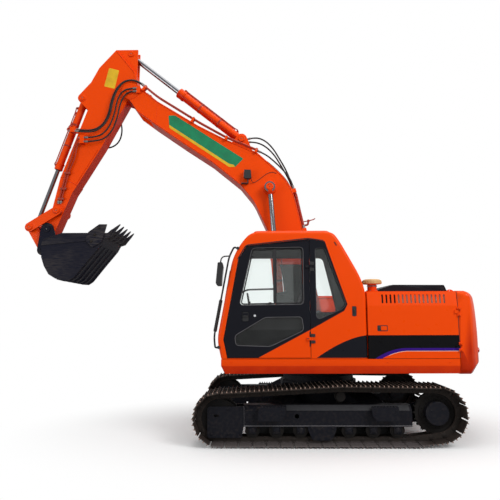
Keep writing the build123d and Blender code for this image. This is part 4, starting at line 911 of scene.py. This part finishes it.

# The thin edge tubes lie on the rubber seals as lighter lines round the windows: painted highlight.
for name, body, key, outline, y, radius, cut in (
        ("door_window_seal", "cab_door", "rubber", DOOR_WINDOW, 1189, 8, 56),
        ("door_low_seal", "cab_door", "rubber", LOW_WINDOW, 1189, 8, 46),
        ("door_low_highlight", "cab_door", "edge", LOW_WINDOW, 1195, 4, 46),
        ("door_window_highlight", "cab_door", "edge", DOOR_WINDOW, 1195, 3.5, 56),
        ("quarter_window_highlight", HOUSE, "edge", QUARTER_WINDOW, 1195, 3.5, 34),
        ("quarter_seal", HOUSE, "rubber", QUARTER_WINDOW, 1189, 8, 34),
        ("right_seal", HOUSE, "rubber", RIGHT_WINDOW, 392, 8, 66)):
    Piece(name, body, key).tube(outline, radius, cut, 8, True, y).done()
# A dark grey sheet across the lower right window, standing in for the shade seen through it: painted shade.
Piece("right_window_shade_panel", HOUSE, "grey").prism(
    [(249, 1560), (640, 1560), (640, 1985), (500, 2011), (560, 2337), (585, 2406), (249, 2406)], 401, 406).done(1)
# A near-black sheet behind the low door window: painted shade of the cab's interior.
Piece("door_low_shade_panel", "cab_door", "shade").prism(rounded_outline(LOW_WINDOW, 46), 1160, 1164).done()
sash = Piece("sliding_sash", "cab_door", "black")
for outline in ([(318, 1822), (318, 2536), (690, 2530), (690, 1815)],
                [(660, 1815), (660, 2530), (962, 2524), (1122, 1808)]):
    sash.tube(outline, 9, 40, 8, True, 1172)
sash.box((668, 692), (1166, 1180), (1818, 2528)).done()
screen = Piece("front_screen_seals", HOUSE, "rubber")
for low, high in ((1706, 2382), (1368, 1634)):
    x_low, x_high = (1388 - 198 * (z - 1350) / 1052 for z in (low, high))
    screen.tube([(x_low, 488, low), (x_high, 488, high), (x_high, 1097, high), (x_low, 1097, low)], 9, 45, 8, True)
screen.done()
wiper = Piece("wiper", HOUSE, "black").lathe((1372, 560, 1672), FORWARD, [(-8, 24), (18, 24), (22, 18)], 24)
wiper.tube([(1388, 560, 1674), (1362, 640, 1900), (1328, 700, 2080)], 6, 30, 8)
wiper.tube([(1365, 700, 1840), (1330, 700, 2060), (1292, 700, 2290)], 6, 20, 6).done()
rail_low, rail_high = at(1466, 1120, 1450), at(1389, 1120, 1866)
Piece("grab_rail_grip", HOUSE, "rubber").lathe(
    rail_low, (rail_high - rail_low).normalized(),
    [(0, 15), (4, 22), (30, 24)] + [(40 + 16 * ridge, 24 - 2.5 * (ridge % 2)) for ridge in range(22)]
    + [(392, 24), (418, 22), (423, 15)], 24).done()
Piece("cab_rain_strip", HOUSE, "rubber").tube(
    [(30, 1199, 2644), (235, 1202, 2674), (1056, 1202, 2586), (1164, 1202, 2404)], 6, 40, 8).done()
hatch = Piece("roof_hatch", HOUSE, "black")
hatch.prism(rounded_outline(block((180, 640), (560, 1024)), 50), 2786, 2794, "Z")
hatch.lathe((640, 792, 2790), UP, [(0, 20), (5, 20), (6, 14)], 20).done(1)
Piece("door_lock", "cab_door", "lens").lathe((942, 1196, 1656), LEFT, [(0, 15), (5, 15), (8, 11)], 24).done()
handle = Piece("door_handle", "cab_door", "black")
handle.prism(rounded_outline(block((1024, 1104), (1586, 1702)), 16), 1188, 1190)
handle.tube([(1034, 1196, 1650), (1034, 1209, 1650), (1096, 1209, 1650), (1096, 1196, 1650)], 8, 12).done(1)
# Near-black strips on the cab side where its slots are: painted shade in the slots.
slot_shade = Piece("cab_side_slot_shade", HOUSE, "shade")
for outline in (block((222, 234), (1258, 1449)), [(-147, 2578), (-121, 2626), (-110, 2619), (-136, 2571)]):
    slot_shade.prism(rounded_outline(outline, 5), 1194, 1203)
slot_shade.done()
catch = Piece("door_catch", HOUSE, "black")
catch.prism(rounded_outline(block((-380, -327), (1646, 1774)), 16), 1193, 1196)
catch.tube([(-354, 1194, 1680), (-354, 1206, 1690), (-354, 1206, 1730), (-354, 1194, 1740)], 6, 8).done(1)
Piece("hinge_bolts", "cab_door", "black").bolts([(x, 1219, z) for z in (1360, 2300) for x in (246, 262)], LEFT,
                                                10).done()
Piece("left_mirror_glass", HOUSE, "mirror").skin(
    [[at(x - back, y, z) for back, y in ((0, 1122), (0, 1258), (3, 1258), (3, 1122))]
     for x, z in ((1374, 2062), (1354, 2276))]).done()
Piece("right_mirror_glass", HOUSE, "mirror").box((1382, 1385), (-1258, -1132), (1975, 2195)).done()
joints = Piece("mirror_joints", HOUSE, "black")
for place in ((1405, 1190, 2290), (1405, -1190, 2000)):
    joints.lathe(place, UP, [(-16, 8), (-12, 15), (0, 18), (12, 15), (16, 8)], 20)
for x, z in ((1163, 2546), (1414, 1250)):
    joints.lathe((x, 1120, z), LEFT, [(30, 20), (82, 20), (84, 16)], 20)
joints.done()


def cushion(name, outline, low, high, puff=26):
    """A seat cushion: a side outline pushed across, with soft rounded edges."""
    soft = Piece(name, HOUSE, "cloth").prism(rounded_outline(outline, 30), low, high).done(0, 180)
    modifier = soft.modifiers.new("soft", "BEVEL")
    modifier.width, modifier.segments, modifier.angle_limit = puff * MM, 6, math.radians(40)
    return soft


ARM_REST = [(330, 1740), (330, 1790), (640, 1800), (650, 1750)]
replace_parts(cushion("seat_cushion", [(262, 1470), (262, 1560), (500, 1548), (730, 1570), (745, 1530), (730, 1470)],
                    585, 995), "operator_seat")
cushion("seat_back", [(262, 1545), (152, 2080), (170, 2110), (262, 2115), (360, 1760), (372, 1570)], 590, 990)
cushion("seat_head_rest", [(160, 2140), (140, 2290), (165, 2310), (235, 2312), (262, 2160)], 670, 910)
cushion("seat_arm_left", ARM_REST, 1000, 1060, 16)
cushion("seat_arm_right", ARM_REST, 520, 580, 16)
for y in (608, 972):
    cushion(f"seat_bolster_{y}", [(280, 1530), (290, 1600), (690, 1592), (720, 1540)], y - 26, y + 26, 20)
stand = Piece("seat_frame", HOUSE, "black").box((320, 690), (640, 940), (1142, 1230))
for low in range(1230, 1399, 42):
    stand.prism(rounded_outline([(345, low), (640, low), (660, low + 21), (640, low + 42), (345, low + 42),
                                 (325, low + 21)], 8), 655, 925)
stand.box((275, 720), (600, 980), (1440, 1472))
for y in (735, 845):
    stand.tube([(200, 2100), (200, 2160)], 8, 5, y=y)
for y in (1030, 550):
    stand.tube([(300, 1540), (300, 1690), (340, 1745)], 14, 40, y=y)
stand.done(2)
levers = Piece("lever_boots", HOUSE, "rubber")
for y in (1080, 495):
    levers.lathe((740, y, 1668), UP, [(0, 46), (10, 46), (14, 34), (20, 38), (26, 28), (32, 32), (38, 22), (44, 26),
                                      (50, 14), (70, 12)], 24)
    levers.lathe((740, y, 1736), UP, [(0, 14), (6, 22), (50, 24), (80, 20), (96, 12), (100, 4)], 24)
for y in (735, 850):
    levers.lathe((1100, y, 1142), UP, [(0, 60), (8, 60), (14, 44), (22, 48), (30, 34), (38, 38), (46, 24),
                                       (54, 14)], 24)
    levers.box((1110, 1230), (y - 50, y + 50), (1160, 1172))
levers.done(1)
monitor = Piece("monitor", HOUSE, "black")
monitor.prism([(1010, 1780), (1040, 1980), (1062, 1976), (1034, 1776)], 452, 640)
monitor.tube([(1080, 470, 1640), (1070, 500, 1790)], 14, 10).done(3)
Piece("monitor_face", HOUSE, "grey").prism([(1008, 1796), (1031, 1964), (1033, 1964), (1010, 1796)], 468,
                                                       624).done()
mat = Piece("floor_mat", HOUSE, "rubber")
mat.prism(rounded_outline(block((740, 1330), (450, 1130)), 40), 1142, 1150, "Z")
for x in range(760, 1261, 50):
    mat.box((x, x + 12), (470, 1110), (1149, 1153))
mat.done()
lining = Piece("cab_lining", HOUSE, "grey").box((-468, -200), (430, 1150), (1142, 1600))
lining.box((-60, 940), (430, 1150), (2684, 2698)).done(8)

# ------------------------------------------------------------------ boom, arm, cylinders and pins

# name, x, z, y of the cap, radius, body
PINS = [("boom_foot", 50, 1600, 226, 56, HOUSE), ("boom_cylinder_foot", 520, 1250, 378, 46, HOUSE),
        ("boom_cylinder_eye", 710, 3606, 325, 52, "boom"), ("arm_cylinder_foot", 1146, 4438, 110, 46, "boom"),
        ("boom_tip", 2915, 5213, 190, 52, "boom"), ("arm_cylinder_eye", 2940, 5885, 93, 44, "arm"),
        ("bucket_cylinder_foot", 3696, 5129, 130, 42, "arm"), ("rocker_pin", 3997, 3276, 217, 42, "rocker_links"),
        ("rocker_end", 4405, 3020, 217, 42, "bucket_link"), ("arm_tip", 4146, 2993, 180, 44, "bucket"),
        ("bucket_link_pin", 4200, 2670, 176, 42, "bucket")]
# name, ending of its bodies' names, foot, eye, ys, radii of barrel and gland, length, rod's radius, y of the pipes
CYLINDERS = [("boom", "s", (520, 1250), (710, 3606), (285, -285), 62, 66, 1400, 37.5, 0),
             ("arm", "", (1146, 4438), (2940, 5885), (0,), 70, 80, 1300, 40, 30),
             ("bucket", "", (3696, 5129), (4405, 3020), (0,), 55, 62, 1210, 32.5, 26)]
TOP_PIPE = [(890, 4218), (1374, 4428), (1804, 4676), (2463, 5100), (2680, 5283)]
BOOM_TOP = [(120, 2550), (210, 2962), (300, 3350), (372, 3621), (511, 3822), (640, 3945), (902, 4190), (1386, 4400),
            (1827, 4632), (2498, 5051), (2700, 5222)]
BOOM_BOTTOM = [(2781, 4862), (2533, 4675), (2041, 4329), (1600, 4033), (1163, 3671), (947, 3403), (747, 2959),
               (600, 2550)]
PANEL = [(2298, 4802), (2192, 4801), (1115, 4088), (1245, 3955), (1336, 3956), (2281, 4596)]
STRIPE = [(1245, 3955), (1336, 3956), (2281, 4596), (2289, 4650), (2256, 4627), (1340, 4010), (1262, 3990)]
LABEL = [(3281, 5630), (3118, 5586), (3181, 5276), (3352, 5319)]

for name, x, z, y, radius, body in PINS:
    pin = Piece(f"{name}_caps", body, "bucket" if body == "bucket" else "orange")
    nipple = Piece(f"{name}_nipples", body, "bare")
    for side in SIDES:
        out = LEFT * side
        pin.lathe((x, side * (y - 2), z), out, [(0, radius + 6), (10, radius + 6), (13, radius), (13, radius * 0.72),
                                                (10, radius * 0.7), (10, 8)], 36)
        pin.bolt_ring((x, side * (y + 8), z), out, radius * 0.82, 3, 11)
        nipple.lathe((x, side * (y + 7), z), out, [(0, 8), (5, 8), (6, 4), (12, 4), (14, 5.5), (17, 3)], 12)
    pin.done(0.8)
    nipple.done()

for name, ending, (x, z), (eye_x, eye_z), ys, radius, gland, length, rod_radius, aside in CYLINDERS:
    way = (at(eye_x, 0, eye_z) - at(x, 0, z)).normalized()
    up = Vector((-way.z, 0, way.x))
    fixed, seals, pipes = (Piece(f"{name}_cylinder_{part}", f"{name}_cylinder_barrel{ending}", key)
                           for part, key in (("gland", "orange"), ("wiper", "black"), ("pipes", "pipe")))
    head = Piece(f"{name}_rod_head", f"{name}_cylinder_rod{ending}", "orange")
    rise, reach = radius + 15, math.hypot(eye_x - x, eye_z - z)
    for y in ys:
        foot = at(x, y, z)

        def spot(along, out, beside=0.0):
            point = foot + (way * along + up * out + LEFT * beside) * MM
            return (point.x - SWING_X) / MM, point.y / MM, point.z / MM

        end = foot + way * length * MM
        fixed.lathe(end - way * 100 * MM, way, [(-6, radius - 3), (-6, radius + 1), (-4, gland + 4), (14, gland + 4),
                                                (16, gland + 1), (16, radius - 3)], 40, 0, True)
        fixed.lathe(end, way, [(-30, rod_radius + 6), (-30, gland + 2), (0, gland + 2), (3, gland - 2),
                               (3, rod_radius + 6)], 40, 0, True)
        fixed.bolt_ring(end + way * 2 * MM, way, (gland + rod_radius) / 2 + 1, 8, 11)
        seals.lathe(end, way, [(2, rod_radius + 0.6), (2, rod_radius + 11), (12, rod_radius + 11),
                               (16, rod_radius + 3), (16, rod_radius + 0.6)], 40, 0, True)
        for along in (length * 0.36, length * 0.66):
            pipes.lathe(foot + way * along * MM, way, [(-14, radius - 1), (-14, radius + 4), (14, radius + 4),
                                                       (14, radius - 1)], 40, 0, True)
            pipes.bolt(foot + (way * along + up * (radius + 26)) * MM, up, 13)
        for beside, start in ((aside, 150), (-aside, 215)) if aside else ((0, 150),):
            pipes.tube([spot(start, radius - 2, beside * 0.7), spot(start, rise + 12, beside),
                        spot(start + 60, rise, beside), spot(length - 120, rise, beside),
                        spot(length - 60, rise + 10, beside), spot(length - 60, gland - 3, beside * 0.7)], 9, 26)
        for along in (150, length - 60):
            pipes.lathe(foot + (way * along + up * (radius - 2)) * MM, up, [(0, 22), (20, 22), (23, 17)], 20)
        head.lathe(foot + way * (reach - 118) * MM, way, [(0, rod_radius + 1), (10, rod_radius + 9),
                                                          (70, rod_radius + 16)], 36)
    for piece, bevel in ((fixed, 0.8), (seals, 0), (pipes, 0), (head, 0)):
        piece.done(bevel)

pipes = Piece("boom_pipes", "boom", "pipe")
fittings = Piece("boom_fittings", "boom", "bare")
for y in (158, 210, -158, -210):
    pipes.tube(TOP_PIPE, 12.5, 90, 12, y=y)
    for (x, z), (to_x, to_z) in ((TOP_PIPE[0], TOP_PIPE[1]), (TOP_PIPE[-1], TOP_PIPE[-2])):
        way = (at(to_x, y, to_z) - at(x, y, z)).normalized()
        fittings.lathe((x, y, z), way, [(0, 17), (4, 19), (26, 19), (28, 17)], 6)
        fittings.lathe((x, y, z), way, [(26, 15.5), (44, 15.5)], 14)
for y in (158, -158, 25, -25):
    pipes.tube([(337.5, 3606), (308, 3545), (291, 3511), (255, 3327), (200, 3080), (180, 2989)], 12.5, 60, 12, y=y)
    fittings.lathe((184, y, 3005), Vector((-0.22, 0, -0.97)), [(-34, 19), (26, 19)], 6)
    fittings.lathe((337, y, 3606), Vector((-0.45, 0, -0.9)), [(-12, 19), (14, 19)], 6)
pipes.done()
for x, z, way in ((2649.5, 5257.4, (217, 183)), (1880, 4725, (659, 424)), (1360, 4422, (484, 210)),
                  (890, 4218, (484, 210))):
    on = Vector((way[0], 0, way[1])).normalized()
    out = Vector((-on.z, 0, on.x))
    fittings.bolts([at(x, side * y, z) + (on * 22 + out * 17) * MM for side in SIDES for y in (149, 184, 221)],
                   out, 13)
fittings.bolts([(x, y, z) for x, z in ((300, 3583), (370, 3566)) for y in (-120, -70, 70, 120)],
               Vector((-0.97, 0, 0.25)), 13).done()
valve = Piece("boom_bleed_valve", "boom", "pipe")
valve.tube([(176, 3040), (120, 3052), (112, 3110)], 15, 16, 12, y=100)
valve.tube([(196, 3098), (112, 3112), (30, 3134), (8, 3150)], 8, 20, y=100)
valve.lathe((112, 100, 3096), UP, [(0, 21), (24, 21), (28, 15), (36, 15)], 6).done()

seams = Piece("boom_welds", "boom", "orange")
flanges = Piece("boom_flanges", "boom", "orange")
for side in SIDES:
    for x, z, radius in ((710, 3606, 97), (2915, 5213, 137)):
        seams.lathe((x, side * 179, z), LEFT * side, [(0, radius + 5), (4, radius + 2), (6, radius - 6)], 56)
    seams.tube([(2500, 4700), (2470, 5020)], 4, 5, 8, y=side * 180)
    for route, drop in ((BOOM_TOP, -20), (BOOM_BOTTOM, 16)):
        flanges.tube([(x, z + drop) for x, z in route], 5.5, 120, 8, y=side * 181)
seams.done()
flanges.done()
for name, outline, half, body, key, rise in (("boom_panel", PANEL, 180, "boom", "green", 1.4),
                                             ("boom_panel_stripe", STRIPE, 180, "boom", "yellow", 2.2),
                                             ("arm_label", LABEL, 130, "arm", "yellow", 1.4)):
    film = Piece(name, body, key)
    for side in SIDES:
        film.prism(rounded_outline(outline, 14), side * (half - 0.5), side * (half + rise))
    film.done()

Piece("boom_light_lens", "boom", "lens").prism([(1102, 3772), (1108, 3774), (1101, 3880), (1094, 3878)], 207,
                                               268).done(1)
rim = Piece("boom_light_rim", "boom", "black")
rim.tube([(1104, 204, 3768), (1096, 204, 3884), (1096, 271, 3884), (1104, 271, 3768)], 4, 8, 8, True)
rim.bolt((1045, 238, 3762), UP, 14).done()
Piece("boom_light_wire", "boom", "rubber").tube(
    [(1000, 240, 3760), (985, 225, 3720), (960, 188, 3690), (860, 184, 3760), (754, 184, 3846), (676, 184, 3872),
     (600, 184, 3850)], 4, 60, 8).done()

pipes = Piece("arm_pipes", "arm", "pipe")
fittings = Piece("arm_fittings", "arm", "bare")
for side, z, drop in ((1, 4440, 0), (1, 4375, 36), (-1, 4385, 0)):
    out = side * (200 - drop)
    pipes.tube([(3676, out, z), (3730, out, z - 20), (3800 - drop, side * 160, z - 260),
                (3892 - drop, side * 156, 3880), (3960 - drop, side * 156, 3560), (3990 - drop, side * 156, 3430)],
               12, 60, 12)
    fittings.lathe((3680, out, z), FORWARD, [(-4, 19), (22, 19)], 6)
    fittings.lathe((3990 - drop, side * 156, 3432), Vector((0.22, 0, -0.97)),
                   [(-6, 20), (20, 20), (24, 15), (40, 15)], 6)
for side in SIDES:
    for x, z in ((3866, 3880), (3917, 3631), (3950, 3470)):
        pipes.box((x - 44, x + 50), sorted((side * 135, side * 178)), (z - 16, z + 16))
        fittings.bolts([(x - 32, side * 178, z), (x + 38, side * 178, z)], LEFT * side, 11)
for y, z in ((158, 4592), (210, 4550)):
    pipes.tube([(3838, y, z), (3880, y, z + 8), (3896, y - 30, z + 50), (3852, 92, z + 130)], 12, 40, 12)
    fittings.lathe((3840, y, z), FORWARD, [(-4, 19), (20, 19)], 6)
pipes.done()
fittings.done()
welds = Piece("arm_welds", "arm", "orange")
for side in SIDES:
    for x, z, radius, y in ((4146, 2993, 102, 136), (3997, 3276, 72, 136), (3696, 5129, 62, 129)):
        welds.lathe((x, side * y, z), LEFT * side, [(0, radius + 5), (4, radius + 2), (6, radius - 6)], 48)
    welds.tube([(3986, 3830), (3719, 3690)], 4, 5, 8, y=side * 136)
    welds.tube([(3160, 5905), (2870, 5545), (2858, 5420)], 6, 30, 8, y=side * 131)
    welds.tube([(3420, 4260), (3800, 3610)], 5, 5, 8, y=side * 131)
welds.done()

# ------------------------------------------------------------------ bucket

pins = Piece("tooth_pins", "bucket", "chain")
for y in (-430, -215, 0, 215, 430):
    for side in SIDES:
        pins.lathe((3072, y + side * 39, 2878), LEFT * side, [(0, 12), (3, 12), (4, 9)], 16)
pins.done()
bolts = Piece("bucket_bolts", "bucket", "chain")
welds = Piece("bucket_welds", "bucket", "bucket")
for y in (-400, -200, 0, 200, 400):
    for edge in (y - 21, y + 21):
        welds.tube([(3232, 2680), (3597, 2224), (3662, 2182), (3754, 2186), (3856, 2204)], 5, 30, 6, y=edge)
for side in SIDES:
    bolts.bolts([(x, side * 491, z) for x, z in ((3240, 2950), (3300, 2850), (3350, 2750))], LEFT * side, 30)
    welds.tube([(3400, side * 472, 2860), (3800, side * 481, 2872), (4052, side * 481, 2790),
                (4084, side * 476, 2700)], 5, 30, 8)
bolts.done()
welds.done()
